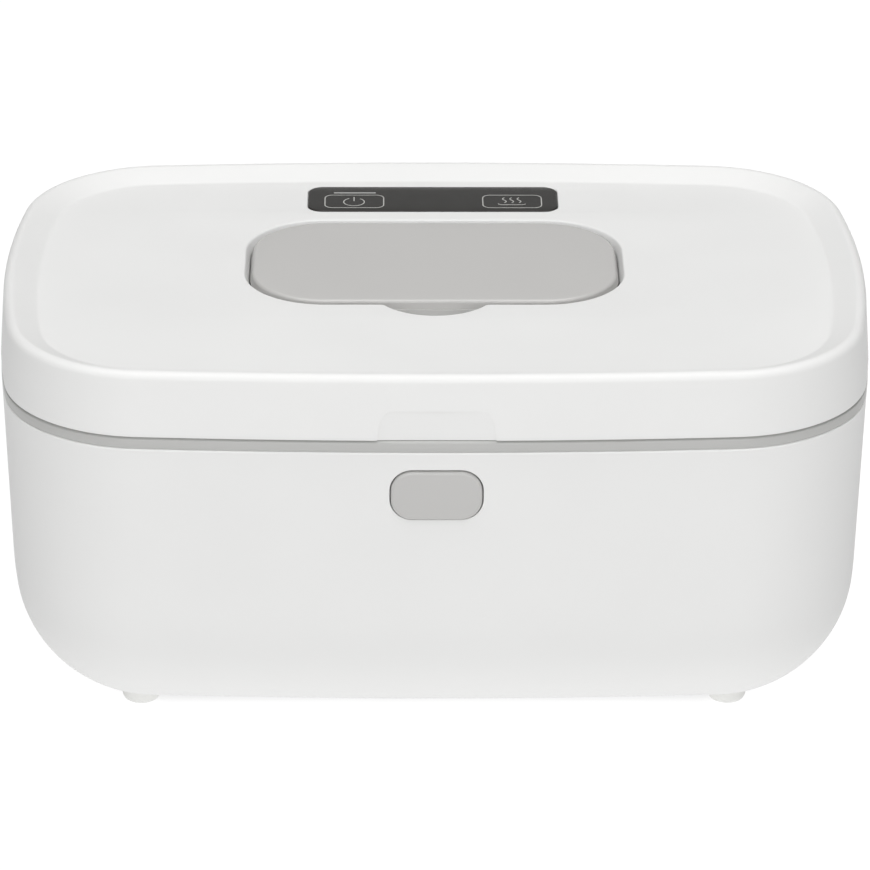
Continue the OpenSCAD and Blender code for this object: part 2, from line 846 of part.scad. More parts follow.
// Points of the spring's wire: rings of six corners along a coil
spring_turns = 4;
spring_steps = 64;
function spring_ring(i) =
    let (a = 360 * spring_turns * i / spring_steps,
         y = 0.35 + (guide_back - 0.7) * i / spring_steps)
    [for (k = [0 : 5]) let (r = spring_r + wire_r * cos(60 * k))
        [r * cos(a), y + wire_r * sin(60 * k), r * sin(a)]];

module button_spring() {
    points = [for (i = [0 : spring_steps]) each spring_ring(i)];
    last = 6 * spring_steps;
    color("silver")
        translate([0, -tongue_y, button_z])
            polyhedron(points, concat(
                [[5, 4, 3, 2, 1, 0]],
                [for (i = [0 : spring_steps - 1], k = [0 : 5]) each [
                    [6 * i + k, 6 * i + (k + 1) % 6, 6 * i + 6 + k],
                    [6 * i + (k + 1) % 6, 6 * i + 6 + (k + 1) % 6, 6 * i + 6 + k]]],
                [[for (k = [0 : 5]) last + k]]
            ));
}

// Bracket behind the latch slider, screwed to two bosses in the base
module button_guide() {
    color("white") difference() {
        union() {
            translate([-guide_w / 2 - guide_t, -guide_in, button_z - 8])
                cube([guide_w + 2 * guide_t, guide_t, 16]);
            for (s = [-1, 1]) {
                translate([s > 0 ? guide_w / 2 : -guide_w / 2 - guide_t, -guide_seat, button_z - 8])
                    cube([guide_t, guide_seat - guide_in + guide_t, 16]);
                translate([s > 0 ? guide_w / 2 : -guide_x - 3, -guide_seat, button_z - 4])
                    cube([guide_x + 3 - guide_w / 2, guide_t, 8]);
            }
        }
        for (s = [-1, 1])
            translate([s * guide_x, -guide_seat - 1, button_z])
                rotate([-90, 0, 0])
                    cylinder(r = 1 + seat, h = 10);
    }
}

module guide_screws() {
    color("silver")
        for (s = [-1, 1])
            translate([s * guide_x, -guide_seat + guide_t + 1.2, button_z])
                rotate([-90, 0, 0])
                    screw(1, 6.4, 2, 1.2);
}

module hinge_pin(s) {
    color("silver")
        translate([s * hinge_x, hinge_y, hinge_z])
            bar(hinge_pin_r, station_w);
}
module hinge_pin_left() { hinge_pin(-1); }
module hinge_pin_right() { hinge_pin(1); }

// ---- Lid ----

slope_in = lid_draft + crest_r;
field_in = slope_in + slope_w;
wall_z = top_z - crest_r;

module lid_bowl() {
    around(concat(
        [[lid_wall + 0.3, lid_z], [0.3, lid_z], [0, lid_z + 0.4]],
        bend([slope_in, wall_z], crest_r, 180, 90, 6),
        [[slope_in + 0.8, top_z - 0.15], [field_in - 0.8, field_z + 0.15], [field_in + 0.4, field_z]],
        [[field_in + 6, field_z], [field_in + 6, field_z - lid_wall], [field_in - 0.6, field_z - lid_wall]],
        [[slope_in + 1.2, top_z - lid_wall - 0.6], [lid_draft + lid_wall + 0.9, top_z - lid_wall - 0.6]],
        [[lid_draft + lid_wall + 0.1, wall_z - 0.6]]
    ));
    sheet(field_in + 5, field_z - lid_wall, lid_wall);
}

// Outline of the well: the flip plate's opening joined with the finger notch
module well_shape(grow) {
    translate([0, plate_y]) rounded(well_w + 2 * grow, well_d + 2 * grow, well_r + grow);
}
module notch_shape(grow) {
    translate([0, notch_y]) circle(notch_r + grow, $fn = 96);
}

module liner_screw_places() {
    at_corners(liner_screw_inset) children();
    for (s = [-1, 1]) translate([s * (half_w - liner_screw_inset - 1), 0, 0]) children();
}

catch_screw = [11, half_d - 8];

module lid_shell() {
    color("whitesmoke") difference() {
        union() {
            lid_bowl();
            // walls of the well and of the finger notch
            translate([0, 0, liner_top])
                linear_extrude(field_z - liner_top - 0.5) well_shape(well_wall);
            translate([0, 0, notch_z - well_wall])
                linear_extrude(field_z - notch_z + well_wall - 0.5)
                    intersection() {
                        notch_shape(well_wall);
                        translate([-40, notch_y - notch_r - 5]) square([80, notch_r]);
                    }
            // bosses of the liner, the touch board and the catch
            liner_screw_places()
                translate([0, 0, liner_top])
                    cylinder(r = 3, h = field_z - liner_top - 0.4);
            for (s = [-1, 1]) {
                translate([s * touch_screw_x, lens_y, touch_z + board_t])
                    cylinder(r = 2.2, h = 1);
                translate([s * catch_screw[0], -catch_screw[1], nose_z + 5])
                    cylinder(r = 2.6, h = field_z - nose_z - 5.3);
            }
            lid_barrels();
        }
        // flip plate's opening and finger notch
        translate([0, 0, liner_top - 1])
            linear_extrude(40) well_shape(0);
        translate([0, 0, notch_z])
            linear_extrude(40) notch_shape(0);
        // touch panel's pocket, and the window under it
        translate([0, lens_y, lens_z])
            slab(lens_w + 2 * seat, lens_d + 2 * seat, lens_r, 10);
        translate([0, lens_y, lens_z - 5])
            slab(window_w, window_d, 1, 10);
        liner_screw_places()
            translate([0, 0, liner_top - 1])
                cylinder(r = 1.1 + seat, h = 9);
        for (s = [-1, 1]) {
            translate([s * touch_screw_x, lens_y, touch_z])
                cylinder(r = 0.9 + seat, h = 2.3);
            translate([s * catch_screw[0], -catch_screw[1], nose_z + 4])
                cylinder(r = 1 + seat, h = 5);
        }
        // shallow thumb recess in the front
        thumb_recess();
        for (s = [-1, 1])
            translate([s * hinge_x, hinge_y, hinge_z])
                bar(hinge_pin_r + seat, station_w + 4);
        passage(lid_mid, lid_in + (lid_in - lid_mid) * 0.3, 2 * duct_r - 0.3);
        translate([-1, hinge_y, hinge_z])
            rotate([0, 90, 0])
                cylinder(r = duct_r, h = duct_x + duct_r + 1);
        base_barrel_room();
    }
}

// A lowered patch under the lid's front edge, wider at the bottom
module thumb_recess() {
    other_edge = [for (i = [len(thumb_edge) - 1 : -1 : 0]) [-thumb_edge[i][0], thumb_edge[i][1]]];
    translate([0, -half_d + thumb_depth, lid_z - 1])
        rotate([90, 0, 0])
            linear_extrude(5)
                polygon(concat(thumb_edge, other_edge));
}

// Room in the lid for the base's barrels
module base_barrel_room() {
    for (s = [-1, 1], e = [-1, 1])
        translate([s * hinge_x + e * (knuckle_w / 2 + fit + ear_w / 2), hinge_y, hinge_z])
            bar(knuckle_r + fit, ear_w + 2 * fit);
    translate([-duct_w / 2 - 0.1, hinge_y, hinge_z])
        bar(knuckle_r + fit, duct_w + 0.8);
}

// Barrels on the lid: one at each side and the right half of the cable duct
module lid_barrels() {
    for (s = [-1, 1]) lid_barrel(s * hinge_x, knuckle_w);
    lid_barrel(duct_w / 2 + fit / 4, duct_w - fit / 2);
}

module lid_barrel(x, w) {
    translate([x, hinge_y, hinge_z]) {
        bar(knuckle_r, w);
        translate([-w / 2, -knuckle_r - 0.4, 0.2])
            cube([w, knuckle_r + 1, 6]);
    }
}

module lid_liner() {
    rib_in = flange_in + 1;
    rib_t = 0.9;
    rib = [
        [rib_in, liner_z], [rib_in, liner_z - rib_t], [rib_in + rib_t, liner_z - rib_t],
        [rib_in + rib_t, liner_z + 0.4], [rib_in, liner_z + 0.4]
    ];
    color("white") difference() {
        union() {
            sheet(lid_wall + 1.4, liner_z, liner_t);
            around(rib);
            around([for (p = rib) [p[0] + 4.5, p[1]]]);
            translate([0, neck_y, liner_z + 0.5])
                slab(neck_w, neck_d, neck_r, neck_z - liner_z - 0.5);
            flip_ears();
        }
        translate([0, neck_y, 0]) {
            translate([0, 0, step_z])
                slab(neck_w - 2 * neck_wall, neck_d - 2 * neck_wall, neck_r - neck_wall, 40);
            slab(neck_w - 4 * neck_wall, neck_d - 4 * neck_wall, neck_r - 2 * neck_wall, 200);
        }
        liner_screw_places() {
            cylinder(r = 1.1 + seat, h = 200);
            translate([0, 0, liner_z - 1]) cylinder(r = 2.7, h = 2);
        }
        for (s = [-1, 1])
            translate([s * (flip_ear_x + flip_ear_w / 2), flip_y, flip_z])
                bar(flip_pin_r + 0.01, flip_ear_w + 1);
        // room for the latch, the lead and the lid's barrels
        translate([-tongue_w / 2 - 1.5, -half_d, 0])
            cube([tongue_w + 3, half_d - tongue_y + button_travel + 0.5, 200]);
        for (s = [-1, 1])
            translate([s * catch_screw[0] - 3.2, -half_d, 0])
                cube([6.4, half_d - catch_screw[1] + 3.2, 200]);
        translate([duct_x - 3, half_d - 7, 0])
            cube([6, 10, 200]);
    }
}

// Ears on the liner that hold the flip plate's pins; each post stays in front of and below the
// axis, where the plate passes it neither shut nor open
module flip_ears() {
    for (s = [-1, 1])
        translate([s * (flip_ear_x + flip_ear_w / 2), flip_y, flip_z]) {
            bar(boss_r, flip_ear_w);
            translate([-flip_ear_w / 2, -3.2, liner_top - 0.2 - flip_z])
                cube([flip_ear_w, 2.6, flip_z - liner_top - 0.4]);
        }
}

module liner_screws() {
    color("silver")
        liner_screw_places()
            translate([0, 0, liner_z - 0.1])
                rotate([180, 0, 0])
                    screw(1.1, 9, 2.5, 1);
}

module lid_gasket() {
    color("gainsboro")
        around([
            [13.1, liner_z], [13.1, liner_z - 0.6], [13.9, flange_z + 0.4],
            [15.5, flange_z + 0.4], [16.3, liner_z - 0.6], [16.3, liner_z]
        ]);
}

// Plate with a window for the latch nose, and a flange screwed under the lid
module lid_catch() {
    plate_y0 = tongue_y + tongue_t + nose_len + fit;
    color("silver") difference() {
        union() {
            translate([-9, -plate_y0 - catch_t, lid_z + 0.3])
                cube([18, catch_t, nose_z + 5 - lid_z - 0.3]);
            translate([-14, -plate_y0 - catch_t, nose_z + 4])
                cube([28, plate_y0 + catch_t - catch_screw[1] + 3, 1]);
        }
        translate([-tongue_w / 2, -plate_y0 - 3, nose_z - 0.3])
            cube([tongue_w, 5, nose_h + 0.6]);
        for (s = [-1, 1])
            translate([s * catch_screw[0], -catch_screw[1], 0])
                cylinder(r = 1 + seat, h = 200);
    }
}

module catch_screws() {
    color("silver")
        for (s = [-1, 1])
            translate([s * catch_screw[0], -catch_screw[1], nose_z + 4 - 1])
                rotate([180, 0, 0])
                    screw(1, 6, 2, 1);
}

// Soft sheet in the neck, with the slot that the wipes are pulled through
module dispense_insert() {
    color("gainsboro")
        translate([0, neck_y, step_z])
            linear_extrude(insert_t)
                difference() {
                    rounded(neck_w - 2 * insert_in, neck_d - 2 * insert_in, neck_r - insert_in);
                    rounded(slot_w, slot_d, slot_d / 2 - 0.5);
                }
}

// ---- Touch panel ----

module touch_lens() {
    color("#3f3e3a")
        translate([0, lens_y, lens_z])
            soft_plate(lens_w, lens_d, lens_r, lens_t, 0.3);
}

module touch_board() {
    color("darkgreen") difference() {
        translate([0, lens_y, touch_z])
            slab(touch_w, touch_d, 1.5, board_t);
        for (s = [-1, 1])
            translate([s * touch_screw_x, lens_y, 0])
                cylinder(r = 0.9 + seat, h = 200);
    }
}

module touch_screws() {
    color("silver")
        for (s = [-1, 1])
            translate([s * touch_screw_x, lens_y, touch_z - 0.8])
                rotate([180, 0, 0])
                    screw(0.9, 3, 1.7, 0.8);
}

// Conductive foam pads between the board and the lens, one under each key
module touch_pads() {
    color("dimgray")
        for (s = [-1, 1])
            translate([s * key_x, lens_y - 1, touch_z + board_t])
                slab(10, 7, 2, lens_z - touch_z - board_t);
}

// Light guide that shows as a bar above the left key
module light_bar() {
    color("white")
        translate([bar_x, bar_y, touch_z + board_t])
            slab(bar_w, bar_d, 0.5, lens_z - touch_z - board_t);
}

module lid_lead() {
    color("black") lead(lid_route, lead_r);
}

// ---- Flip plate ----

module flip_plate() {
    color("darkgray") difference() {
        translate([0, plate_y, cover_z])
            soft_plate(plate_w, plate_d, plate_r, plate_t, 1);
        // grooves over the hinge's barrels
        for (s = [-1, 1])
            translate([s * (flip_ear_x + flip_ear_w - barrel_w / 2), flip_y, flip_z])
                bar(boss_r + 0.15, barrel_w + 2 * fit);
    }
}

module flip_carrier() {
    color("white") difference() {
        union() {
            translate([0, plate_y, carrier_z])
                slab(plate_w - 1, plate_d - 1, plate_r - 0.5, carrier_t);
            for (s = [-1, 1])
                translate([s * (flip_ear_x - fit - flip_boss_w / 2), flip_y, flip_z])
                    bar(boss_r, flip_boss_w);
        }
        // room for the liner's ears
        for (s = [-1, 1])
            translate([s * (flip_ear_x + flip_ear_w / 2), flip_y + 4, flip_z])
                cube([flip_ear_w + 2 * fit, 15, 10], center = true);
        for (s = [-1, 1])
            translate([s * (flip_ear_x - flip_boss_w / 2), flip_y, flip_z])
                bar(flip_pin_r + seat, flip_boss_w + 3);
    }
}

module flip_seal() {
    color("gainsboro")
        translate([0, neck_y, neck_z + fit])
            linear_extrude(carrier_z - neck_z - fit)
                difference() {
                    rounded(neck_w - 1, neck_d - 1, neck_r - 0.5);
                    rounded(neck_w - 2 * neck_wall + 1, neck_d - 2 * neck_wall + 1, neck_r - neck_wall + 0.5);
                }
}

module flip_pin(s) {
    color("silver")
        translate([s * (flip_ear_x + flip_ear_w - 4), flip_y, flip_z])
            bar(flip_pin_r, 8);
}
module flip_pin_left() { flip_pin(-1); }
module flip_pin_right() { flip_pin(1); }

base_shell();
base_cover();
cover_screws();
foot_front_left();
foot_front_right();
foot_back_left();
foot_back_right();
trim_ring();
ring_screws();
wipe_tub();
heat_plate();
heater_film();
insulation_pad();
thermal_fuse();
temperature_sensor();
sensor_clip();
main_board();
board_parts();
board_screws();
power_inlet();
inlet_nut();
inlet_lead();
heater_lead();
sensor_lead();
base_lead();
button_guide();
guide_screws();
release_button();
latch_slider();
button_spring();
hinge_pin_left();
hinge_pin_right();
lid_shell();
lid_liner();
liner_screws();
lid_gasket();
lid_catch();
catch_screws();
dispense_insert();
touch_lens();
touch_board();
touch_screws();
touch_pads();
light_bar();
lid_lead();
flip_plate();
flip_carrier();
flip_seal();
flip_pin_left();
flip_pin_right();
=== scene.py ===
from math import atan2, cos, degrees, radians, sin, sqrt

import bmesh
import bpy
import numpy as np
from mathutils import Matrix, Vector
from mathutils.geometry import tessellate_polygon


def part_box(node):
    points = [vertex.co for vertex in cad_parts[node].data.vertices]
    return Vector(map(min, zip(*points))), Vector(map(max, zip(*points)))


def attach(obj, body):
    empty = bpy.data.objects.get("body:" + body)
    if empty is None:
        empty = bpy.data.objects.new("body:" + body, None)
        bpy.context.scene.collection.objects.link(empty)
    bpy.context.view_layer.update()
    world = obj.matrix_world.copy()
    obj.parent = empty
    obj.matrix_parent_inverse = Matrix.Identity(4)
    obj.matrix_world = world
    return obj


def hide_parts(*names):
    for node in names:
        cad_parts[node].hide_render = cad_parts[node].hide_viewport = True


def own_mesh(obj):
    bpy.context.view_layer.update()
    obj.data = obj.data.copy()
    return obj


# A table-top warmer for a pack of baby wipes. +X is to its right, +Y to its back, +Z up, and the table
# is at z = 0. Sizes below are in millimetres; an inset is a distance inwards from the body's outline.
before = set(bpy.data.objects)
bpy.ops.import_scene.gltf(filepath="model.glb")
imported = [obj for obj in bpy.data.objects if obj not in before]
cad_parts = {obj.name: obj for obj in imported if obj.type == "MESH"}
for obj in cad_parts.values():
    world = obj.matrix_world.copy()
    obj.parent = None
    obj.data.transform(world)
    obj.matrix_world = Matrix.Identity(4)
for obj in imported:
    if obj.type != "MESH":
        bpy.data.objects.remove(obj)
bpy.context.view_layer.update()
MM = 0.001

# ---- Camera ----
# A long lens a metre and a half away looks down on the front at about 24 degrees, as in the photograph.
camera_target = Vector((0.34, 0, 61.08)) * MM
camera_distance = 1500 * MM
camera_rise, camera_turn, camera_roll = radians(24.47), radians(-0.61), radians(0.26)

towards_camera = Vector((
    sin(camera_turn) * cos(camera_rise),
    -cos(camera_turn) * cos(camera_rise),
    sin(camera_rise),
))
camera_right = Vector((0, 0, 1)).cross(towards_camera).normalized()
camera_up = towards_camera.cross(camera_right)
rolled_right = camera_right * cos(camera_roll) + camera_up * sin(camera_roll)
rolled_up = camera_up * cos(camera_roll) - camera_right * sin(camera_roll)

camera_data = bpy.data.cameras.new("studio_camera")
camera_data.lens = 220.7
camera_data.sensor_width = 36
camera_data.clip_start, camera_data.clip_end = 0.05, 50
camera = bpy.data.objects.new("studio_camera", camera_data)
bpy.context.scene.collection.objects.link(camera)
turned = Matrix((rolled_right, rolled_up, towards_camera)).transposed().to_4x4()
camera.matrix_world = Matrix.Translation(camera_target + towards_camera * camera_distance) @ turned
bpy.context.scene.camera = camera
bpy.context.scene.view_settings.view_transform = "Standard"

# ---- Floor ----
# A wide sheet of milk-white acrylic that glows as if lit from below. Its glow is turned down in a patch under
# the warmer, a painted shadow. Elsewhere it leaves almost no shadow and throws light up at the bowl's
# underside, as a lit studio table does.
# In metres: half the floor's side, half the patch of painted shadow under the warmer, and the width of its
# soft edge
floor_half = 4.0
shadow_patch = (0.072, 0.022, 0)
shadow_blur = 0.024
# The floor's glow inside the painted shadow under the warmer, and elsewhere
painted_shadow_glow, floor_glow = 0.1, 0.96


def shader_tree(name):
    """A new material with its node tree, its principled shader and its object coordinates."""
    material = bpy.data.materials.new(name)
    material.use_nodes = True
    tree = material.node_tree
    shader = tree.nodes["Principled BSDF"]
    place = tree.nodes.new("ShaderNodeTexCoord").outputs["Object"]
    return material, tree, shader, place


def noise(tree, place, size, detail=3.0, stretch=(1, 1, 1)):
    """Fractal noise whose features are about size millimetres wide, drawn out by stretch along X, Y, Z."""
    mapping = tree.nodes.new("ShaderNodeMapping")
    mapping.inputs["Scale"].default_value = stretch
    texture = tree.nodes.new("ShaderNodeTexNoise")
    texture.inputs["Scale"].default_value = 1 / (size * MM)
    texture.inputs["Detail"].default_value = detail
    tree.links.new(place, mapping.inputs["Vector"])
    tree.links.new(mapping.outputs["Vector"], texture.inputs["Vector"])
    return texture.outputs["Fac"]


def spread(tree, value, low, high, from_low=0.3, from_high=0.7):
    """The value carried from one range to another, in a straight line."""
    node = tree.nodes.new("ShaderNodeMapRange")
    node.inputs["From Min"].default_value, node.inputs["From Max"].default_value = from_low, from_high
    node.inputs["To Min"].default_value, node.inputs["To Max"].default_value = low, high
    tree.links.new(value, node.inputs["Value"])
    return node.outputs["Result"]


def blend_colour(tree, value, first, second):
    """A colour that goes from the first to the second as the value goes from 0 to 1."""
    node = tree.nodes.new("ShaderNodeMix")
    node.data_type = "RGBA"
    node.inputs["A"].default_value, node.inputs["B"].default_value = (*first, 1), (*second, 1)
    tree.links.new(value, node.inputs["Factor"])
    return node.outputs["Result"]


def relief(tree, shader, height, depth):
    """Bumps of a depth in millimetres where the height goes from 0 to 1."""
    node = tree.nodes.new("ShaderNodeBump")
    node.inputs["Distance"].default_value = depth * MM
    tree.links.new(height, node.inputs["Height"])
    tree.links.new(node.outputs["Normal"], shader.inputs["Normal"])


milk_acrylic, tree, shader, place = shader_tree("milk_acrylic")
shader.inputs["Roughness"].default_value = 0.9
shader.inputs["Specular IOR Level"].default_value = 0.1
shader.inputs["Emission Color"].default_value = (1, 1, 1, 1)
# The distance of a point from the patch of painted shadow: the length of max(|place| - patch, 0)
outside = place
for step, size in [("ABSOLUTE", None), ("SUBTRACT", shadow_patch), ("MAXIMUM", (0, 0, 0)), ("LENGTH", None)]:
    node = tree.nodes.new("ShaderNodeVectorMath")
    node.operation = step
    tree.links.new(outside, node.inputs[0])
    if size:
        node.inputs[1].default_value = size
    outside = node.outputs["Value" if step == "LENGTH" else "Vector"]
# The floor's glow, turned down to a painted shadow under the warmer
glow_with_painted_shadow = spread(tree, outside, painted_shadow_glow, floor_glow, 0, shadow_blur)
tree.links.new(glow_with_painted_shadow, shader.inputs["Emission Strength"])
cloud = spread(tree, noise(tree, place, 40), 0, 1)
tree.links.new(blend_colour(tree, cloud, (0.08, 0.08, 0.08), (0.1, 0.1, 0.1)), shader.inputs["Base Color"])

floor_mesh = bpy.data.meshes.new("floor")
side = np.linspace(-floor_half, floor_half, 9)
floor_points = np.stack(np.meshgrid(side, side, [0.0], indexing="ij"), -1).reshape(-1, 3)
corner = (np.arange(8)[:, None] * 9 + np.arange(8)).ravel()
floor_faces = np.column_stack([corner, corner + 9, corner + 10, corner + 1])
floor_mesh.from_pydata(floor_points.tolist(), [], floor_faces.tolist())
floor_mesh.materials.append(milk_acrylic)
floor = bpy.data.objects.new("floor", floor_mesh)
bpy.context.scene.collection.objects.link(floor)

# ---- Lights ----
# A dim tent that is darker to the left and right, with a bright soft box above the front, whose gleam
# lies along the rounded edges, and a weak one in front.
tent = bpy.data.worlds.new("grey_tent")
tent.use_nodes = True
bpy.context.scene.world = tent
tent_tree = tent.node_tree
tent_direction = tent_tree.nodes.new("ShaderNodeTexCoord").outputs["Generated"]
tent_parts = tent_tree.nodes.new("ShaderNodeSeparateXYZ")
tent_side = tent_tree.nodes.new("ShaderNodeMath")
tent_side.operation = "ABSOLUTE"
tent_tree.links.new(tent_direction, tent_parts.inputs["Vector"])
tent_tree.links.new(tent_parts.outputs["X"], tent_side.inputs[0])
tent_middle, tent_end = 0.40, 0.02
middle_reach, end_start = 0.15, 0.6
tent_glow = spread(tent_tree, tent_side.outputs["Value"], tent_middle, tent_end, middle_reach, end_start)
tent_tree.links.new(tent_glow, tent_tree.nodes["Background"].inputs["Strength"])
tent_tree.nodes["Background"].inputs["Color"].default_value = (1, 1, 0.995, 1)


def soft_box(name, width, depth, power, place, aim):
    """A rectangular area light at a place, turned towards the point it aims at; sizes in metres."""
    light = bpy.data.lights.new(name, "AREA")
    light.shape = "RECTANGLE"
    light.size, light.size_y = width, depth
    light.energy = power
    lamp = bpy.data.objects.new(name, light)
    lamp.location = place
    lamp.rotation_mode = "QUATERNION"
    lamp.rotation_quaternion = (Vector(aim) - Vector(place)).to_track_quat("-Z", "Y")
    bpy.context.scene.collection.objects.link(lamp)


soft_box("overhead_box", 1.8, 1.15, 30.5, (0, -0.3, 1.8), (0, 0, 0.1))
soft_box("front_box", 1.5, 1.2, 16.8, (0, -2.3, 0.7), (0, 0, 0.08))

# ---- Base shell ----
# The lower half is one bowl of satin white ABS, injection moulded: its walls lean in by 3 mm towards a
# 36 mm bottom radius, and its underside has an opening for the electronics. Hinge lugs stand at the back.
base_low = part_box("base_shell")[0]
half_width = -base_low.x / MM
half_depth = -base_low.y / MM
base_z = base_low.z / MM
rim_z = 92.0
base_wall = 2.5
base_lean = 3.0
bottom_radius = 36.0
corner_radius = 40.0
side_bow, front_bow = 2.6, 2.4
corner_x = half_width - side_bow - corner_radius
corner_y = half_depth - front_bow - corner_radius


def bow(across, near, reach):
    """Radius, centre and half angle of the shallow arc over a side. It bulges out to reach, and meets
    with the same slope the two corner arcs, whose centres lie at near, across to either side."""
    out = reach - near
    radius = (across**2 + out**2 - corner_radius**2) / (2 * (out - corner_radius))
    centre = reach - radius
    return radius, centre, degrees(atan2(across, near - centre))


side_radius, side_centre, side_turn = bow(corner_y, corner_x, half_width)
front_radius, front_centre, front_turn = bow(corner_x, corner_y, half_depth)


def arc(centre, radius, start, end, count):
    """Points centre + radius * (cos a, sin a), with a running from start to end in degrees, without the
    end itself."""
    a = np.radians(np.linspace(start, end, count, endpoint=False))
    return np.column_stack([centre[0] + radius * np.cos(a), centre[1] + radius * np.sin(a)])


def body_outline(inset):
    """The body seen from above, drawn in by an inset: four corner arcs between four shallow arcs, each
    meeting the next with the same slope. Every inset gives as many points, so rows of them match."""
    half = np.concatenate([
        arc((side_centre, 0), side_radius - inset, -side_turn, side_turn, 24),
        arc((corner_x, corner_y), corner_radius - inset, side_turn, 90 - front_turn, 40),
        arc((0, front_centre), front_radius - inset, 90 - front_turn, 90 + front_turn, 48),
        arc((-corner_x, corner_y), corner_radius - inset, 90 + front_turn, 180 - side_turn, 40),
    ])
    return np.concatenate([half, -half])


def at_height(loop, z):
    """A flat loop of (x, y) lifted to the height z."""
    return np.column_stack([loop, np.full(len(loop), z)])


def carried_round(loop_at, profile):
    """Rows of a surface: for each (inset, z) of a profile, the loop drawn in by that inset at that height."""
    return np.stack([at_height(loop_at(inset), z) for inset, z in profile])


def skin(rows, closed=False):
    """Quads between rows of equal loops; with closed, the last row also joins the first."""
    count, around = rows.shape[:2]
    j = np.arange(count if closed else count - 1)[:, None]
    i = np.arange(around)
    along, up = (i + 1) % around, ((j + 1) % count) * around
    faces = np.stack([j * around + i, j * around + along, up + along, up + i], -1)
    return rows.reshape(-1, 3), faces.reshape(-1, 4)


def flat_face(z, outer, *holes):
    """Triangles of a level face at the height z, between an outer loop and the loops of its holes."""
    loops = [outer, *holes]
    flat = [[Vector((x, y, 0)) for x, y in loop.tolist()] for loop in loops]
    return at_height(np.concatenate(loops), z), np.array(tessellate_polygon(flat))


def quarter(centre, radius, start, end, steps):
    """Points of a rounded edge in a profile, both ends included."""
    a = np.radians(np.linspace(start, end, steps + 1))
    return [(centre[0] + radius * cos(t), centre[1] + radius * sin(t)) for t in a]


def mesh_of(name, surfaces):
    """One mesh of several surfaces in millimetres: their shared edges are merged, their faces turned out."""
    starts = np.cumsum([0] + [len(points) for points, _ in surfaces])
    points = np.concatenate([points for points, _ in surfaces]) * MM
    faces = [face for (_, some), start in zip(surfaces, starts) for face in (some + start).tolist()]
    mesh = bpy.data.meshes.new(name)
    mesh.from_pydata(points.tolist(), [], faces)
    work = bmesh.new()
    work.from_mesh(mesh)
    bmesh.ops.remove_doubles(work, verts=work.verts, dist=0.001 * MM)
    bmesh.ops.recalc_face_normals(work, faces=work.faces)
    work.to_mesh(mesh)
    work.free()
    return mesh


def without(mesh, cutters):
    """The mesh with the volume of each cutter, a list of surfaces, taken out of it."""
    whole = bpy.data.objects.new("whole", mesh)
    bpy.context.scene.collection.objects.link(whole)
    tools = []
    for surfaces in cutters:
        tool = bpy.data.objects.new("tool", mesh_of("tool", surfaces))
        bpy.context.scene.collection.objects.link(tool)
        step = whole.modifiers.new("cut", "BOOLEAN")
        step.operation, step.solver, step.object = "DIFFERENCE", "EXACT", tool
        tools.append(tool)
    ready = whole.evaluated_get(bpy.context.evaluated_depsgraph_get())
    result = bpy.data.meshes.new_from_object(ready)
    result.materials.clear()
    for used in [whole, *tools]:
        bpy.data.objects.remove(used)
    return result


def make_piece(name, surfaces, finish, body, stands_for=(), cutters=(), crease=32):
    """A finished piece from its surfaces, less its cutters: smooth where faces meet at less than the
    crease angle, with its finish, riding on a body."""
    mesh = mesh_of(name, surfaces)
    if cutters:
        mesh = without(mesh, cutters)
        mesh.name = name
    mesh.shade_smooth()
    mesh.set_sharp_from_angle(angle=radians(crease))
    mesh.materials.append(finish)
    piece = bpy.data.objects.new(name, mesh)
    bpy.context.scene.collection.objects.link(piece)
    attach(piece, body)
    if stands_for:
        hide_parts(*stands_for)
    return piece


def rounded_loop(width, depth, radius, centre=(0, 0), steps=14):
    """A rectangle with round corners: four quarter arcs of steps + 1 points, joined by straight sides."""
    x, y = width / 2 - radius, depth / 2 - radius
    turns = np.radians(np.linspace(0, 90, steps + 1))
    corners = [
        np.column_stack([sx * x + radius * np.cos(turns + k), sy * y + radius * np.sin(turns + k)])
        for sx, sy, k in [(1, 1, 0), (-1, 1, radians(90)), (-1, -1, radians(180)), (1, -1, radians(270))]
    ]
    return np.concatenate(corners) + centre


def rounded_rect(width, depth, radius, centre=(0, 0), steps=14):
    """The same rectangle as a function of an inset, with the corner radius drawn in as well."""
    return lambda inset: rounded_loop(width - 2 * inset, depth - 2 * inset, radius - inset, centre, steps)


def base_inset(z, wall):
    """Inset of the base's outer face, or of a face a wall's thickness behind it: the lean of the wall,
    and below the bottom radius's centre its quarter circle."""
    drop = max(0.0, base_z + bottom_radius - z)
    radius = bottom_radius - wall
    return wall + base_lean * (rim_z - z) / (rim_z - base_z) + radius - sqrt(max(0.0, radius**2 - drop**2))


def base_side(wall):
    """Heights and insets down one face of the bowl, from the straight wall through the bottom radius."""
    straight = np.linspace(rim_z - 1, base_z + bottom_radius, 9)
    curve = base_z + bottom_radius - (bottom_radius - wall) * np.sin(np.radians(np.linspace(0, 90, 29)))[1:]
    return [(base_inset(z, wall), z) for z in [*straight, *curve]]


white_plastic_colour = (0.775, 0.775, 0.768)


def moulded_plastic(name, colour, roughness, grain=0.35, depth=0.004):
    """Satin moulded plastic: a fine spark-eroded grain, slow changes of gloss and the faintest flow marks."""
    material, tree, shader, place = shader_tree(name)
    flow = noise(tree, place, 30, 2)
    speck = noise(tree, place, grain, 2)
    darker = tuple(0.985 * c for c in colour)
    colours = blend_colour(tree, spread(tree, flow, 0, 1), darker, colour)
    tree.links.new(colours, shader.inputs["Base Color"])
    tree.links.new(spread(tree, flow, roughness - 0.03, roughness + 0.03), shader.inputs["Roughness"])
    relief(tree, shader, speck, depth)
    return material


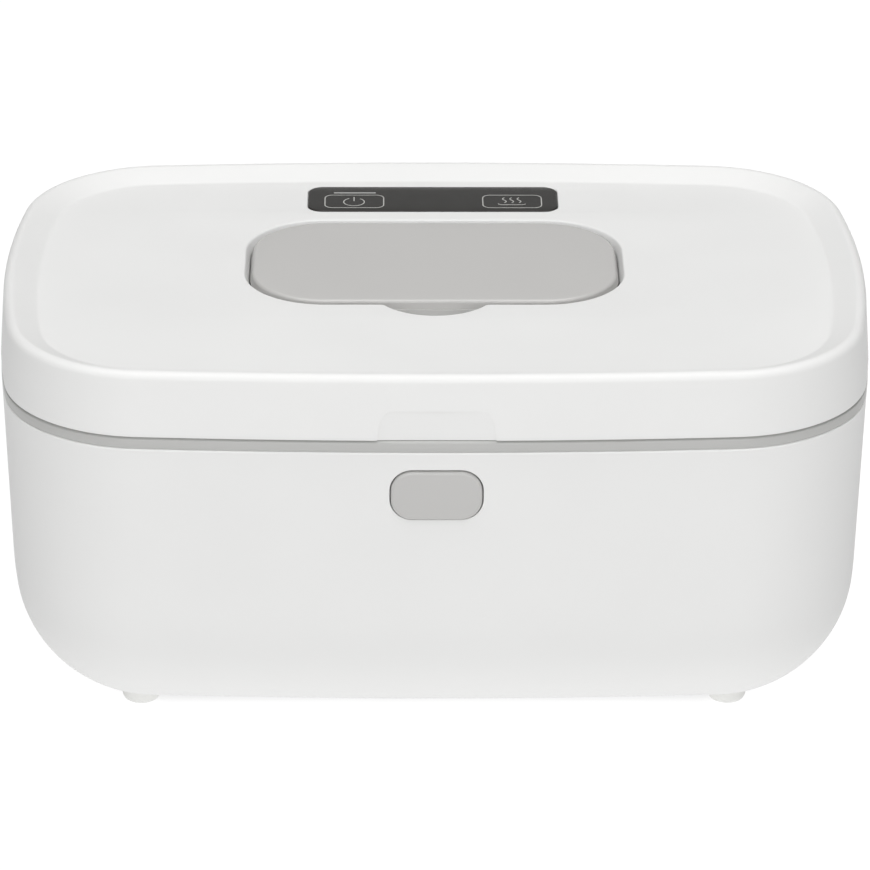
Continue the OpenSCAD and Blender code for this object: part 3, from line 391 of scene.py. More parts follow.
white_plastic = moulded_plastic("white_plastic", white_plastic_colour, 0.54)
floor_z = base_z + base_wall
opening = rounded_rect(134, 64, 8)
ledge = rounded_rect(122.4, 52.4, 6)
ledge_frame = rounded_rect(140, 70, 10)
ledge_top = floor_z + 2.4
base_outer = [(base_wall, rim_z), (0.9, rim_z), *quarter((0.8, rim_z - 0.8), 0.8, 90, 180, 6), *base_side(0)]
base_inner = [(base_wall, rim_z), *base_side(base_wall)]

# Button hole: its wall runs straight back, and its edge is rounded where it meets the leaning front
button_z = 79.2
button_hole_edge, button_hole_end = 0.15, -70
button_hole = rounded_rect(25.1, 14.8, 6.1, (0, 0), 12)


def front_face(x, z):
    """Place along Y of the base's front face: its shallow arc in plan, leaning in by the draft below."""
    reach = front_radius - base_lean * (rim_z - z) / (rim_z - base_z)
    return -(front_centre + np.sqrt(reach**2 - x**2))


def front_hole_rows(loop_at, edge, back):
    """Rows of a hole's cutter: outside the wall, round its edge (out by edge - edge cos t, in by
    edge - edge sin t), and straight back to the place along Y."""
    turns = np.radians([82, 66, 50, 34, 17, 0])
    steps = [(edge + 0.3, -0.8), *[(edge * (1 - cos(t)), edge * (1 - sin(t))) for t in turns]]
    rows = []
    for out, deep in steps:
        x, up = loop_at(-out).T
        rows.append(np.column_stack([x, front_face(x, button_z) + deep, up + button_z]))
        rows[-1][:, 1] -= base_lean / (rim_z - base_z) * up
    last = rows[-1].copy()
    last[:, 1] = back
    return np.stack([*rows, last])


def fan(row):
    """One face over a closed row of points."""
    return row, np.arange(len(row))[None, :]


hole_rows = front_hole_rows(button_hole, button_hole_edge, button_hole_end)
button_cutter = [skin(hole_rows), fan(hole_rows[0]), fan(hole_rows[-1])]

# Inlet pocket: a round seat for the socket's flange in the back
inlet_x, inlet_z, inlet_seat, inlet_radius = 45.0, 48.0, 75.6, 6.75


def turned_rows(profile, steps=48):
    """Rows of a turned shape: each (radius, height) of the profile carried round the Z axis."""
    ring = arc((0, 0), 1, 0, 360, steps)
    return np.stack([at_height(ring * max(radius, 1e-4), height) for radius, height in profile])


def facing_back(rows, x, y, z):
    """Rows made along Z, turned so that they run towards the back, and moved to a place."""
    return np.stack([rows[..., 0] + x, rows[..., 2] + y, -rows[..., 1] + z], -1)


pocket_profile = [(0, 0), (inlet_radius, 0), (inlet_radius, 12), (0, 12)]
pocket_rows = facing_back(turned_rows(pocket_profile), inlet_x, inlet_seat, inlet_z)

# Hinge lugs: each has a round head on the hinge's axis and a tail that fairs into the wall
hinge_y, hinge_z = half_depth, 95.25
lug_radius, pin_radius = 2.8, 1.3
knuckle_width, ear_width, hinge_x, hinge_play = 11.4, 5.0, 55.0, 0.3
duct_width = 14.0


def lug(left, right, tail):
    """A lug along X from left to right. Its section in (y, z) about the hinge's axis is a round head and a
    tail, given as points; its ends have a small chamfer, and a round seat for the pin."""
    head_start = -35 if tail[0][1] < 0 else 175
    head = arc((0, 0), lug_radius, head_start, head_start + 220, 36)
    section = np.concatenate([head, np.array(tail, float)])
    section = section[np.argsort(np.arctan2(section[:, 1], section[:, 0]))]
    seat = pin_radius * section / np.linalg.norm(section, axis=1)[:, None]
    chamfer, seat_depth = 0.3, 0.8
    small = section * (1 - chamfer / lug_radius)
    sections = [
        (left + seat_depth, seat), (left, seat), (left, small), (left + chamfer, section),
        (right - chamfer, section), (right, small), (right, seat), (right - seat_depth, seat),
    ]
    rows = np.stack([
        np.column_stack([np.full(len(loop), x), loop[:, 0] + hinge_y, loop[:, 1] + hinge_z])
        for x, loop in sections
    ])
    return [skin(rows), fan(rows[0]), fan(rows[-1])]


ear_offset = knuckle_width / 2 + hinge_play + ear_width / 2
base_tail = [(-3.2, -1.0), (-3.2, -11.5), (-1.9, -11.5)]
base_lugs = [
    surface
    for place in [s * hinge_x + e * ear_offset for s in (-1, 1) for e in (-1, 1)]
    for surface in lug(place - ear_width / 2, place + ear_width / 2, base_tail)
]
base_lugs += lug(-duct_width, -hinge_play / 2, base_tail)

make_piece(
    "base_bowl",
    [
        skin(carried_round(body_outline, base_outer)),
        skin(carried_round(body_outline, base_inner)),
        flat_face(base_z, body_outline(base_outer[-1][0]), opening(0)),
        skin(carried_round(opening, [(0, base_z), (0, floor_z)])),
        flat_face(floor_z, opening(0), ledge(0)),
        skin(carried_round(ledge, [(0, floor_z), (0, ledge_top)])),
        flat_face(ledge_top, ledge_frame(0), ledge(0)),
        skin(carried_round(ledge_frame, [(0, floor_z), (0, ledge_top)])),
        flat_face(floor_z, body_outline(base_inner[-1][0]), ledge_frame(0)),
        *base_lugs,
    ],
    white_plastic, "base", ["base_shell"],
    cutters=[button_cutter, [skin(pocket_rows)]],
)

# ---- Base cover and its screws ----
# A flat moulded plate closes the opening under the electronics. It lies in the bowl's ledge and is held
# by four zinc-plated cross-head screws.


def dress(finish, *nodes):
    """Gives CAD pieces their finish."""
    for node in nodes:
        for material_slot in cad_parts[node].material_slots:
            material_slot.material = finish


def plated_steel(name, colour=(0.62, 0.62, 0.64), roughness=0.3):
    """Bright plated steel: metal with fine drawn lines and small changes of gloss."""
    material, tree, shader, place = shader_tree(name)
    shader.inputs["Metallic"].default_value = 1.0
    lines = noise(tree, place, 0.5, 2, (1, 1, 8))
    dull = tuple(0.88 * c for c in colour)
    tree.links.new(blend_colour(tree, spread(tree, lines, 0, 1), dull, colour), shader.inputs["Base Color"])
    tree.links.new(spread(tree, lines, roughness - 0.06, roughness + 0.08), shader.inputs["Roughness"])
    relief(tree, shader, lines, 0.01)
    return material


steel = plated_steel("plated_steel")
dress(white_plastic, "base_cover")
dress(steel, "cover_screws")

# ---- Feet ----
# Four soft white rubber feet stand in seats under the corners. Each is a low turned disc with a rounded
# foot and a shallow dimple underneath.
foot_radius, foot_x, foot_y = 5.35, 81.5, 41.5
foot_round, foot_rise, foot_top = 1.3, 2.4, 5.2


def soft_rubber(name, colour, roughness=0.62):
    """Silicone rubber: matt, with a soft bloom of lighter patches and a fine skin."""
    material, tree, shader, place = shader_tree(name)
    bloom = noise(tree, place, 6, 3)
    pale = tuple(min(1.0, 1.05 * c) for c in colour)
    tree.links.new(blend_colour(tree, spread(tree, bloom, 0, 1), colour, pale), shader.inputs["Base Color"])
    tree.links.new(spread(tree, bloom, roughness - 0.06, roughness + 0.06), shader.inputs["Roughness"])
    shader.inputs["Sheen Weight"].default_value = 0.08
    relief(tree, shader, noise(tree, place, 0.3, 2), 0.01)
    return material


white_rubber = soft_rubber("white_rubber", (0.76, 0.76, 0.74))
foot_turns = np.radians(np.linspace(0, 90, 9))
foot_side = [(foot_radius - foot_round * (1 - sin(t)), foot_rise * (1 - cos(t))) for t in foot_turns]
foot_dimple = [(0, 0.4), (2.4, 0.4), (3.0, 0.2), (3.3, 0)]
foot_profile = [*foot_dimple, *foot_side, (foot_radius, foot_top), (0, foot_top)]
for side_name, sx in (("left", -1), ("right", 1)):
    for end_name, sy in (("front", -1), ("back", 1)):
        rows = turned_rows(foot_profile) + np.array([sx * foot_x, sy * foot_y, 0])
        node = f"foot_{end_name}_{side_name}"
        make_piece(f"{node}_rubber", [skin(rows)], white_rubber, "base", [node])

# ---- Power socket, board and wiring ----
# A barrel socket is nutted into the back wall. Leads run from it to a green circuit board on the base
# cover, and on to the heater, the sensors and, through the hinge, the lid.


def circuit_board(name):
    """Glass-fibre board: green solder mask over copper tracks that run both ways and turn in squares."""
    material, tree, shader, place = shader_tree(name)
    tracks = tree.nodes.new("ShaderNodeTexBrick")
    tracks.inputs["Scale"].default_value = 1 / (9 * MM)
    tracks.inputs["Mortar Size"].default_value = 0.035
    tracks.inputs["Color1"].default_value = (0.012, 0.11, 0.04, 1)
    tracks.inputs["Color2"].default_value = (0.015, 0.14, 0.05, 1)
    tracks.inputs["Mortar"].default_value = (0.05, 0.28, 0.10, 1)
    tree.links.new(place, tracks.inputs["Vector"])
    tree.links.new(tracks.outputs["Color"], shader.inputs["Base Color"])
    tree.links.new(spread(tree, noise(tree, place, 12), 0.28, 0.4), shader.inputs["Roughness"])
    relief(tree, shader, tracks.outputs["Fac"], 0.035)
    return material


def wire_insulation(name, colour):
    """Soft PVC over stranded wire: satin, with faint rings and smudges."""
    material, tree, shader, place = shader_tree(name)
    smudge = noise(tree, place, 4, 3)
    deep = tuple(0.8 * c for c in colour)
    tree.links.new(blend_colour(tree, spread(tree, smudge, 0, 1), deep, colour), shader.inputs["Base Color"])
    tree.links.new(spread(tree, smudge, 0.38, 0.5), shader.inputs["Roughness"])
    relief(tree, shader, noise(tree, place, 0.6, 1), 0.01)
    return material


board_green = circuit_board("board_green")
dark_plastic = moulded_plastic("dark_plastic", (0.035, 0.035, 0.037), 0.45, 0.5, 0.01)
dress(dark_plastic, "power_inlet", "board_parts", "temperature_sensor")
dress(steel, "inlet_nut", "board_screws")
dress(board_green, "main_board", "touch_board")
dress(wire_insulation("lead_black", (0.02, 0.02, 0.022)), "inlet_lead", "base_lead", "lid_lead", "touch_pads")
dress(wire_insulation("lead_red", (0.45, 0.02, 0.015)), "heater_lead")
dress(wire_insulation("lead_yellow", (0.72, 0.5, 0.03)), "sensor_lead")

# ---- Heater ----
# Under the tub lie an aluminium plate that spreads the heat, an amber film with a printed heating track,
# and a pad of closed-cell foam. A brass clip presses the thermal fuse and the sensor against the film.


def heater_track(name):
    """Amber polyimide film over a dark etched track that runs to and fro along X."""
    material, tree, shader, place = shader_tree(name)
    track = tree.nodes.new("ShaderNodeTexWave")
    track.bands_direction = "Y"
    track.inputs["Scale"].default_value = 1 / (20 * MM)
    track.inputs["Distortion"].default_value = 0.4
    tree.links.new(place, track.inputs["Vector"])
    edge = spread(tree, track.outputs["Fac"], 0, 1, 0.45, 0.55)
    amber, etched = (0.62, 0.26, 0.03), (0.2, 0.09, 0.03)
    tree.links.new(blend_colour(tree, edge, amber, etched), shader.inputs["Base Color"])
    tree.links.new(spread(tree, noise(tree, place, 3), 0.22, 0.34), shader.inputs["Roughness"])
    relief(tree, shader, edge, 0.04)
    return material


def closed_foam(name, colour):
    """Closed-cell foam: small round cells that catch a little shade at their walls."""
    material, tree, shader, place = shader_tree(name)
    cells = tree.nodes.new("ShaderNodeTexVoronoi")
    cells.inputs["Scale"].default_value = 1 / (1.2 * MM)
    tree.links.new(place, cells.inputs["Vector"])
    deep = tuple(0.8 * c for c in colour)
    near = spread(tree, cells.outputs["Distance"], 0, 1, 0.1, 0.6)
    tree.links.new(blend_colour(tree, near, colour, deep), shader.inputs["Base Color"])
    shader.inputs["Roughness"].default_value = 0.85
    relief(tree, shader, cells.outputs["Distance"], 0.2)
    return material


def fired_ceramic(name, colour):
    """Unglazed ceramic with a fine speckle."""
    material, tree, shader, place = shader_tree(name)
    speckle = noise(tree, place, 0.5, 4)
    deep = tuple(0.82 * c for c in colour)
    tree.links.new(blend_colour(tree, spread(tree, speckle, 0, 1), deep, colour), shader.inputs["Base Color"])
    shader.inputs["Roughness"].default_value = 0.7
    relief(tree, shader, speckle, 0.04)
    return material


dress(plated_steel("rolled_aluminium", (0.72, 0.72, 0.73), 0.38), "heat_plate")
dress(heater_track("heater_track"), "heater_film")
dress(closed_foam("pale_foam", (0.7, 0.7, 0.67)), "insulation_pad")
dress(fired_ceramic("pale_ceramic", (0.75, 0.68, 0.52)), "thermal_fuse")
dress(plated_steel("spring_brass", (0.68, 0.47, 0.16), 0.28), "sensor_clip")

# ---- Trim ring ----
# A grey moulded ring sits on the bowl's rim and shows as a band under the lid, with a chamfered upper
# edge. Its inner ledge carries the tub. Gaps let the hinge lugs and the latch through, and it is held
# by four screws.
band_z = 95.1
flange_in, ledge_in = 11.0, 15.5
ledge_z, deck_z = 93.3, 91.5
band_colour = (0.45, 0.45, 0.44)
grey_plastic = moulded_plastic("grey_plastic", band_colour, 0.4)
ring_profile = [
    (0.1, rim_z), (0.1, band_z - 0.8), (0.16, band_z - 0.65), (0.5, band_z - 0.28), (0.75, band_z - 0.15),
    (1.0, band_z),
    (flange_in - 0.6, band_z), (flange_in - 0.3, band_z - 0.3), (flange_in - 0.3, ledge_z),
    (ledge_in, ledge_z), (ledge_in, deck_z), (4.5, deck_z), (4.5, rim_z - 4), (2.9, rim_z - 4), (2.9, rim_z),
]


def block(low, high):
    """The surfaces of a plain box between two corners, for a cutter."""
    (x0, y0, z0), (x1, y1, z1) = low, high
    loop = np.array([(x1, y1), (x0, y1), (x0, y0), (x1, y0)], float)
    rows = np.stack([at_height(loop, z0), at_height(loop, z1)])
    return [skin(rows), fan(rows[0]), fan(rows[1])]


station_half = knuckle_width / 2 + ear_width + 2 * hinge_play
duct_half, latch_half = 14.45, 7.8
gap_low, gap_high = 80, 100
screw_out = (corner_radius - 6.2) * cos(radians(45))
screw_seat, screw_head = band_z - 1.7, 2.8
screw_rows = turned_rows([(0, screw_seat), (screw_head, screw_seat), (screw_head, 99), (0, 99)])
ring_cutters = [
    *[
        block((s * hinge_x - station_half, 75.2, gap_low), (s * hinge_x + station_half, 90, gap_high))
        for s in (-1, 1)
    ],
    block((-duct_half, 71.8, gap_low), (duct_half, 90, gap_high)),
    block((-latch_half, -75.7, gap_low), (latch_half, -66.8, gap_high)),
    *[
        [skin(screw_rows + np.array([sx * (corner_x + screw_out), sy * (corner_y + screw_out), 0]))]
        for sx in (-1, 1) for sy in (-1, 1)
    ],
]
make_piece(
    "trim_band", [skin(carried_round(body_outline, ring_profile), closed=True)],
    grey_plastic, "base", ["trim_ring"], cutters=ring_cutters, crease=25,
)
dress(steel, "ring_screws")

# ---- Wipe tub ----
# A white polypropylene tub, injection moulded with leaning walls and a wide bottom radius, hangs by its
# flange in the trim ring. The wipes lie in it.
tub_width, tub_depth, tub_corner = 212.8, 131.2, 29.0
tub_z, tub_wall, tub_side, tub_lean, tub_radius = 24.0, 1.8, 5.0, 3.0, 14.0
flange_z = 94.9
tub_plastic = moulded_plastic("tub_plastic", (0.78, 0.78, 0.77), 0.33, 0.6, 0.003)
tub_loop = rounded_rect(tub_width, tub_depth, tub_corner, (0, 0), 24)
turn_in = tub_side + tub_lean + tub_radius
turn_z = tub_z + tub_radius
tub_outer = [(turn_in + 5, tub_z), *quarter((turn_in, turn_z), tub_radius, 270, 180, 20)]
tub_inner = [*quarter((turn_in, turn_z), tub_radius - tub_wall, 180, 270, 20)]
tub_inner += [(turn_in + 5, tub_z + tub_wall)]
lip_radius = 0.9
tub_profile = [
    *tub_outer, (tub_side, ledge_z), (0.2, ledge_z), (0, ledge_z + 0.2), (0, flange_z - 0.4), (0.4, flange_z),
    *quarter((tub_side + tub_wall - lip_radius, flange_z - lip_radius), lip_radius, 90, 0, 6), *tub_inner,
]
make_piece(
    "tub",
    [
        skin(carried_round(tub_loop, tub_profile)),
        flat_face(tub_z, tub_loop(turn_in + 5)),
        flat_face(tub_z + tub_wall, tub_loop(turn_in + 5)),
    ],
    tub_plastic, "base", ["wipe_tub"],
)

# ---- Release button and latch ----
# A grey button in the front wall pushes a white slider back against a coil spring, which draws the latch
# nose out of the lid's catch. Behind it a bracket on two screws holds the spring.
button_width, button_height, button_radius = 24.5, 14.3, 5.9
button_face, button_back, flange_back = -79.0, -75.5, -74.1
button_edge, button_bevel, button_sag = 1.2, 0.85, 0.15
button_plastic = moulded_plastic("button_plastic", (0.50, 0.495, 0.485), 0.42)


def facing_front(loop_at, steps):
    """Rows of a shape seen from the front: for each (inset, y), its loop stood up at that place along Y."""
    stood = [(loop_at(inset), y) for inset, y in steps]
    return np.stack([
        np.column_stack([loop[:, 0], np.full(len(loop), y), loop[:, 1] + button_z]) for loop, y in stood
    ])


# The cap sags a little in its hole. Its edge bevels over, and its face is very slightly domed.
button_loop = rounded_rect(button_width, button_height, button_radius, (0, -button_sag), 20)
edge_turns = np.radians(np.linspace(0, 90, 9))
button_steps = [(0, button_back), *[
    (button_edge * (1 - cos(t)), button_face + 0.03 + button_bevel * (1 - sin(t))) for t in edge_turns
]]
button_steps += [(2.6, button_face + 0.01), (4.6, button_face)]
button_rows = facing_front(button_loop, button_steps)
flange_loop = rounded_rect(button_width + 3, button_height + 3, button_radius, (0, 0), 20)
flange_rows = facing_front(flange_loop, [(0, flange_back), (0, button_back)])
make_piece(
    "button_cap",
    [
        skin(button_rows), fan(button_rows[-1]), skin(flange_rows), fan(flange_rows[0]),
        skin(np.stack([flange_rows[-1], button_rows[0]])),
    ],
    button_plastic, "button", ["release_button"],
)
dress(tub_plastic, "button_guide", "latch_slider")
dress(steel, "guide_screws", "hinge_pin_left", "hinge_pin_right")

# Latch spring: a coil of round wire between the slider and the bracket
spring_radius, wire_radius, spring_turns, spring_z = 3.0, 0.3, 4, 78.65
spring_front, spring_back, button_travel = -71.5, -66.5, 1.8


def coil(steps, corners):
    """Round wire carried along a coil about the button's axis. As t goes from 0 to 1 the wire turns evenly,
    and moves back by t - 0.3 sin(2 pi t) / (2 pi) of the length, so that its end turns lie closer."""
    t = np.linspace(0, 1, steps + 1)[:, None]
    turn = 2 * np.pi * spring_turns * t
    round_wire = np.linspace(0, 2 * np.pi, corners, endpoint=False)
    out = spring_radius + wire_radius * np.cos(round_wire)
    length = spring_back - spring_front - 2 * wire_radius
    middle = spring_front + wire_radius + length * (t - 0.3 * np.sin(2 * np.pi * t) / (2 * np.pi))
    return np.stack([
        out * np.cos(turn), middle + wire_radius * np.sin(round_wire), spring_z + out * np.sin(turn),
    ], -1)


spring_rows = coil(192, 10)
spring = make_piece(
    "latch_spring", [skin(spring_rows), fan(spring_rows[0]), fan(spring_rows[-1])],
    steel, "base", ["button_spring"],
)
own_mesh(spring)

# ---- Lid shell ----
# The lid is one white moulding: a leaning wall, a rounded crest, and a slope down to a flat field. A well
# with a finger notch takes the flip plate, and a shallow pocket behind it the touch panel.
lid_z, crest_z, field_z = 95.2, 111.1, 110.2
lid_lean, crest_radius, hollow_radius = 1.1, 2.2, 3.0
slope = radians(25.5)
crest_in = lid_lean + crest_radius
crest_end = (crest_in + crest_radius * sin(slope), crest_z + crest_radius * cos(slope))
hollow_z = field_z + hollow_radius
hollow_start_z = hollow_z - hollow_radius * cos(slope)
hollow_in = crest_end[0] + (crest_end[1] - hollow_start_z) / np.tan(slope) + hollow_radius * sin(slope)
field_in, field_thick, lid_wall = 12.0, 2.2, 2.2
lid_profile = [
    (field_in, field_z),
    *quarter((hollow_in, hollow_z), hollow_radius, 270, 270 - degrees(slope), 6),
    *quarter((crest_in, crest_z), crest_radius, 90 - degrees(slope), 180, 16),
    *[(lid_lean * (z - lid_z) / (crest_z - lid_z), z) for z in np.linspace(crest_z - 2, lid_z + 1.2, 6)],
    *quarter((0.28, lid_z + 0.25), 0.25, 180, 270, 4),
]
lid_profile += [
    (lid_wall + 0.1, lid_z), (lid_wall + 0.4, lid_z + 0.3), (3.4, 109.7), (4.2, 110.5), (5.3, 110.5),
    (9.7, field_z - field_thick), (field_in, field_z - field_thick),
]

# The well: the flip plate's opening, with a notch in its front edge that fairs into the straight
well_y, well_width, well_depth, well_corner = 9.1, 102.9, 58.7, 21.3
well_front = well_y - well_depth / 2
notch_reach, notch_half, notch_fair = 7.7, 15.0, 3.0
well_chamfer, chamfer_lean, chamfer_round, chamfer_foot = 1.7, 66, 0.7, 107.4
well_wall, liner_top, notch_floor = 1.6, 98.4, 103.5
# A notch arc of this radius, and fairing arcs at either side, meet the straight at notch_half
notch_radius = ((notch_half**2 + (notch_reach - notch_fair) ** 2) - notch_fair**2) / (2 * notch_reach)
notch_centre = well_front - notch_reach + notch_radius


def well_loop(grow, notched):
    """The well seen from above, grown all round: a rectangle with round corners. With notched, its front
    edge bends out by fairing arcs into the notch's arc. Without, the same points lie on a straight."""
    front = well_front - grow
    fair_centre = (-notch_half, well_front - notch_fair)
    lean = degrees(atan2(notch_centre - fair_centre[1], notch_half))
    fair = arc(fair_centre, notch_fair - grow, 90, lean, 8)
    bottom = arc((0, notch_centre), notch_radius + grow, 180 + lean, 360 - lean, 40)
    end = arc((0, notch_centre), notch_radius + grow, 360 - lean, 361 - lean, 1)
    other = fair[::-1] * (-1, 1)
    notch = np.concatenate([fair, bottom, end, other])
    if not notched:
        notch[:, 1] = front
    corner = well_corner + grow
    x, y = well_width / 2 - well_corner, well_depth / 2 - well_corner
    steps = 24
    corners = [
        arc((sx * x, well_y + sy * y), corner, start, start + 90 * (1 + 1 / steps), steps + 1)
        for sx, sy, start in [(1, -1, 270), (1, 1, 0), (-1, 1, 90), (-1, -1, 180)]
    ]
    return np.concatenate([notch, *corners])


def scoop_rows(steps):
    """The notch's inner face, and the well's wall beside it. As t goes from 0 to 90 degrees the loop goes
    from notched to straight by 1 - cos t, and down from the chamfer to the notch's floor by sin t."""
    turns = np.radians(np.linspace(0, 90, steps + 1))
    notched, straight = well_loop(0, True), well_loop(0, False)
    fall = chamfer_foot - notch_floor
    return np.stack([
        at_height(notched * cos(t) + straight * (1 - cos(t)), chamfer_foot - fall * sin(t)) for t in turns
    ])


def rounded_edge(loop_at, radius, z, steps=5):
    """Rows round the edge of an opening in a level face: out by radius (1 - sin t), and down by
    radius (1 - cos t)."""
    turns = np.radians(np.linspace(0, 90, steps + 1))
    return np.stack([at_height(loop_at(radius * (1 - sin(t))), z - radius * (1 - cos(t))) for t in turns])


lens_y, lens_width, lens_depth, lens_radius = 55.4, 71.4, 18.8, 4.2
lens_gap, pocket_edge, pocket_z = 0.15, 0.25, 109.1


def pocket_loop(grow):
    """The touch panel's pocket seen from above, grown all round."""
    more = 2 * (lens_gap + grow)
    return rounded_loop(lens_width + more, lens_depth + more, lens_radius + lens_gap + grow, (0, lens_y), 14)


# The well's chamfer: it rounds over from the field by chamfer_lean degrees, and falls straight to its foot
chamfer = quarter((well_chamfer, field_z - chamfer_round), chamfer_round, 90, 90 + chamfer_lean, 6)
chamfer += [(0, chamfer_foot)]
field_under, notch_under = field_z - field_thick, notch_floor - well_wall
lid_surfaces = [
    skin(carried_round(body_outline, lid_profile)),
    flat_face(field_z, body_outline(field_in), well_loop(well_chamfer, True), pocket_loop(pocket_edge)),
    skin(np.stack([at_height(well_loop(grow, True), z) for grow, z in chamfer])),
    skin(scoop_rows(12)),
    skin(np.stack([at_height(well_loop(0, False), z) for z in (notch_floor, liner_top)])),
    skin(np.stack([at_height(well_loop(grow, False), liner_top) for grow in (0, well_wall)])),
    skin(np.stack([at_height(well_loop(well_wall, False), z) for z in (liner_top, notch_under)])),
    skin(np.stack([at_height(well_loop(well_wall, bent), notch_under) for bent in (False, True)])),
    skin(np.stack([at_height(well_loop(well_wall, True), z) for z in (notch_under, field_under)])),
    flat_face(field_under, body_outline(field_in), well_loop(well_wall, True)),
    skin(rounded_edge(pocket_loop, pocket_edge, field_z)),
    skin(np.stack([at_height(pocket_loop(0), z) for z in (field_z - pocket_edge, pocket_z)])),
    flat_face(pocket_z, pocket_loop(0)),
]
lid_tail = [(-1.9, 7.2), (-3.2, 7.2), (-3.2, 1.0)]
for s in (-1, 1):
    lid_surfaces += lug(s * hinge_x - knuckle_width / 2, s * hinge_x + knuckle_width / 2, lid_tail)
lid_surfaces += lug(hinge_play / 2, duct_width, lid_tail)


def rod(left, right, radius):
    """A cutter: a rod along X on the hinge's axis."""
    ring = arc((hinge_y, hinge_z), radius, 0, 360, 48)
    rows = np.stack([np.column_stack([np.full(48, x), ring]) for x in (left, right)])
    return [skin(rows), fan(rows[0]), fan(rows[1])]


ear_room = ear_width / 2 + hinge_play
lid_cutters = [
    rod(middle - ear_room, middle + ear_room, lug_radius + hinge_play)
    for middle in [s * hinge_x + e * ear_offset for s in (-1, 1) for e in (-1, 1)]
]
lid_cutters.append(rod(-14.5, 0.3, lug_radius + hinge_play))

# Thumb recess: a flat a little behind the front face, wider at its foot, under the lid's edge
thumb_depth = 0.7
thumb_side = np.array([(16, 94), (15.2, 100.4), (13.9, 102.6), (12.9, 103.3), (11.6, 103.5)], float)
thumb_loop = np.concatenate([thumb_side, thumb_side[::-1] * (-1, 1)])
thumb_rows = np.stack([
    np.column_stack([thumb_loop[:, 0], np.full(len(thumb_loop), y), thumb_loop[:, 1]])
    for y in (-half_depth - 3, thumb_depth - half_depth)
])
lid_cutters.append([skin(thumb_rows), fan(thumb_rows[0]), fan(thumb_rows[1])])
make_piece(
    "lid_bowl", lid_surfaces, white_plastic, "lid", ["lid_shell"],
    cutters=lid_cutters, crease=28,
)

# ---- Lid liner, gasket and dispensing insert ----
# A white inner cover is screwed up into the lid. It has two ribs that hold a silicone gasket, and a neck
# in the well with a soft slotted insert that grips the wipe.
soft_seal = soft_rubber("soft_seal", (0.66, 0.67, 0.67), 0.55)
dress(tub_plastic, "lid_liner")
dress(soft_seal, "lid_gasket", "dispense_insert", "flip_seal")
dress(steel, "liner_screws", "lid_catch", "catch_screws", "touch_screws", "flip_pin_left", "flip_pin_right")

# ---- Touch panel ----
# A near-black polished acrylic lens lies in the pocket. Printed in thin pale ink on it are two key
# outlines with a power mark and a steam mark, and a light bar glows through above the left key.
lens_top, lens_edge = 110.3, 0.35
key_x, key_y, key_width, key_depth = 22.6, 53.4, 16.8, 9.6
ink_width, ink_thick = 0.3, 0.03


def polished_lens(name):
    """Smoked acrylic: near-black and polished, with the faintest orange peel and dust in its gloss."""
    material, tree, shader, place = shader_tree(name)
    peel = noise(tree, place, 5, 2)
    colours = blend_colour(tree, spread(tree, peel, 0, 1), (0.020, 0.019, 0.017), (0.024, 0.023, 0.021))
    tree.links.new(colours, shader.inputs["Base Color"])
    tree.links.new(spread(tree, peel, 0.16, 0.22), shader.inputs["Roughness"])
    shader.inputs["Specular IOR Level"].default_value = 0.3
    relief(tree, shader, peel, 0.002)
    return material


def printed_ink(name, colour):
    """Screen-printed ink: matt, with tiny pinholes."""
    material, tree, shader, place = shader_tree(name)
    holes = noise(tree, place, 0.2, 2)
    thin = tuple(0.85 * c for c in colour)
    tree.links.new(blend_colour(tree, spread(tree, holes, 0, 1), thin, colour), shader.inputs["Base Color"])
    tree.links.new(spread(tree, holes, 0.5, 0.65), shader.inputs["Roughness"])
    return material


lens_loop = rounded_rect(lens_width, lens_depth, lens_radius, (0, lens_y))
lens_profile = [(0, pocket_z + 0.02), *quarter((lens_edge, lens_top - lens_edge), lens_edge, 180, 90, 6)]
make_piece(
    "panel_lens",
    [
        skin(carried_round(lens_loop, lens_profile)),
        flat_face(pocket_z + 0.02, lens_loop(0)),
        flat_face(lens_top, lens_loop(lens_edge)),
    ],
    polished_lens("polished_lens"), "lid", ["touch_lens"],
)


def printed_line(path, width=ink_width, closed=False):
    """A printed line: the path's points moved half a width to either side, square to its direction, as a
    thin closed strip of ink on the lens."""
    path = np.asarray(path, float)
    if closed:
        ahead = np.roll(path, -1, 0) - np.roll(path, 1, 0)
    else:
        ahead = np.gradient(path, axis=0)
    ahead /= np.linalg.norm(ahead, axis=1)[:, None]
    square = np.column_stack([-ahead[:, 1], ahead[:, 0]]) * width / 2
    low, high = lens_top - 0.01, lens_top + ink_thick
    section = [
        at_height(path - square, low), at_height(path + square, low),
        at_height(path + square, high), at_height(path - square, high),
    ]
    rows = np.stack(section, 1)
    if closed:
        return [skin(rows, closed=True)]
    return [skin(rows), fan(rows[0]), fan(rows[-1])]


def wave(x, low, high, swing):
    """A line that rises from low to high and swings to either side by a sine."""
    t = np.linspace(0, 1, 21)
    return np.column_stack([x + swing * np.sin(2 * np.pi * t), low + (high - low) * t])


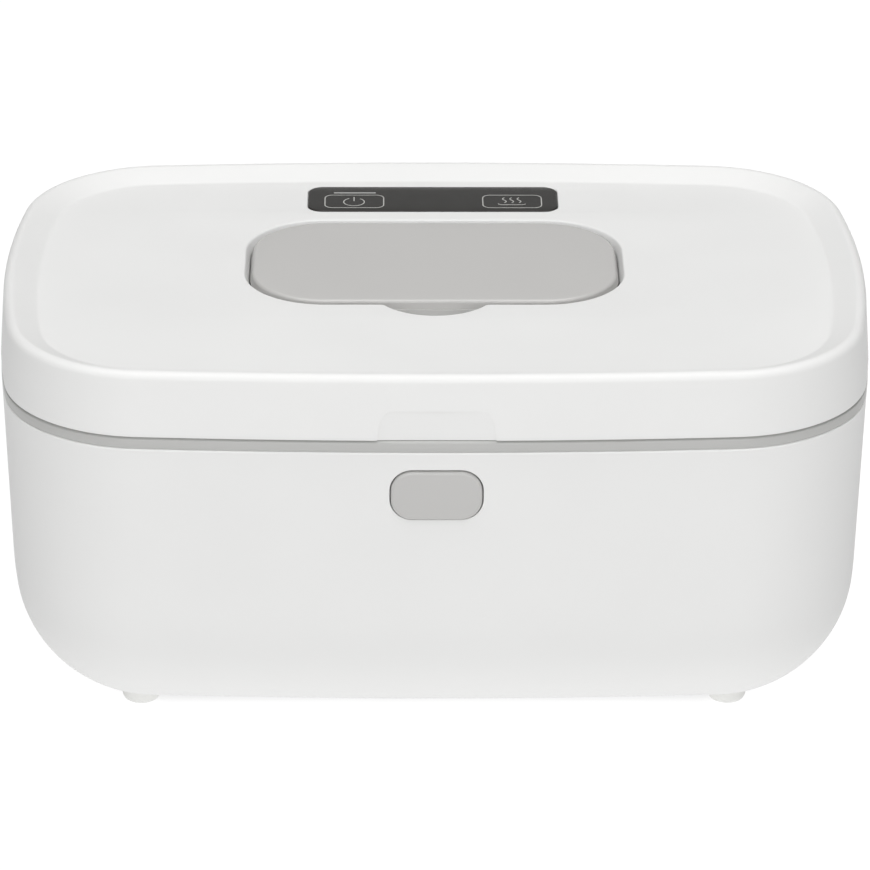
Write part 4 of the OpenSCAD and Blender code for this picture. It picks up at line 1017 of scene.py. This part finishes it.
ink_lines = []
for s in (-1, 1):
    key_outline = rounded_loop(key_width, key_depth, 2.2, (s * key_x + 0.1, key_y), 8)
    ink_lines += printed_line(key_outline, closed=True)
power_x, power_y, power_radius = -key_x, key_y - 0.4, 2.95
ink_lines += printed_line(arc((power_x, power_y), power_radius, 118, 422, 40))
power_stroke = np.column_stack([np.full(5, power_x), np.linspace(power_y + 0.6, power_y + 3.7, 5)])
ink_lines += printed_line(power_stroke)
for shift in (-2.1, 0, 2.1):
    ink_lines += printed_line(wave(key_x + shift, key_y - 1.0, key_y + 2.9, 0.5))
tray = np.concatenate([
    arc((key_x - 2.9, key_y - 1.5), 1.0, 190, 270, 8), arc((key_x + 2.9, key_y - 1.5), 1.0, 270, 355, 8),
])
ink_lines += printed_line(tray)
make_piece("key_marks", ink_lines, printed_ink("pale_ink", (0.50, 0.50, 0.48)), "lid")
bar_path = np.column_stack([np.linspace(-28.4, -16.4, 5), np.full(5, 59.9)])
make_piece(
    "light_strip", printed_line(bar_path, 0.8), printed_ink("clouded_light_guide", (0.42, 0.42, 0.41)),
    "lid",
)
dress(printed_ink("light_guide", (0.8, 0.8, 0.78)), "light_bar")

# ---- Flip plate ----
# A grey moulded cap with a rounded edge is clipped over a pale grey carrier that swings on two pins in
# the liner's ears. Under the carrier a silicone ring closes the neck.
plate_y, plate_width, plate_depth, plate_radius = 8.95, 102.4, 57.5, 21.0
plate_top, plate_skirt, plate_edge, cap_thick = 110.45, 107.8, 1.1, 0.42
plate_plastic = moulded_plastic("plate_plastic", (0.51, 0.503, 0.492), 0.4)
plate_loop = rounded_rect(plate_width, plate_depth, plate_radius, (0, plate_y), 24)
cap_profile = [
    (plate_edge + 4, plate_top), *quarter((plate_edge + 0.4, plate_top - plate_edge), plate_edge, 90, 180, 8),
    (0, plate_skirt + 0.15), (0.12, plate_skirt), (cap_thick, plate_skirt),
    (cap_thick + 0.25, plate_top - 1.1), (1.4, plate_top - cap_thick),
    (plate_edge + 4, plate_top - cap_thick),
]
make_piece(
    "plate_cap",
    [
        skin(carried_round(plate_loop, cap_profile)),
        flat_face(plate_top, plate_loop(plate_edge + 4)),
        flat_face(plate_top - cap_thick, plate_loop(plate_edge + 4)),
    ],
    plate_plastic, "flip", ["flip_plate"],
)
dress(moulded_plastic("pale_grey_plastic", (0.6, 0.597, 0.585), 0.42), "flip_carrier")

# ---- Finish ----
# The view layer is brought up to date.
bpy.context.view_layer.update()
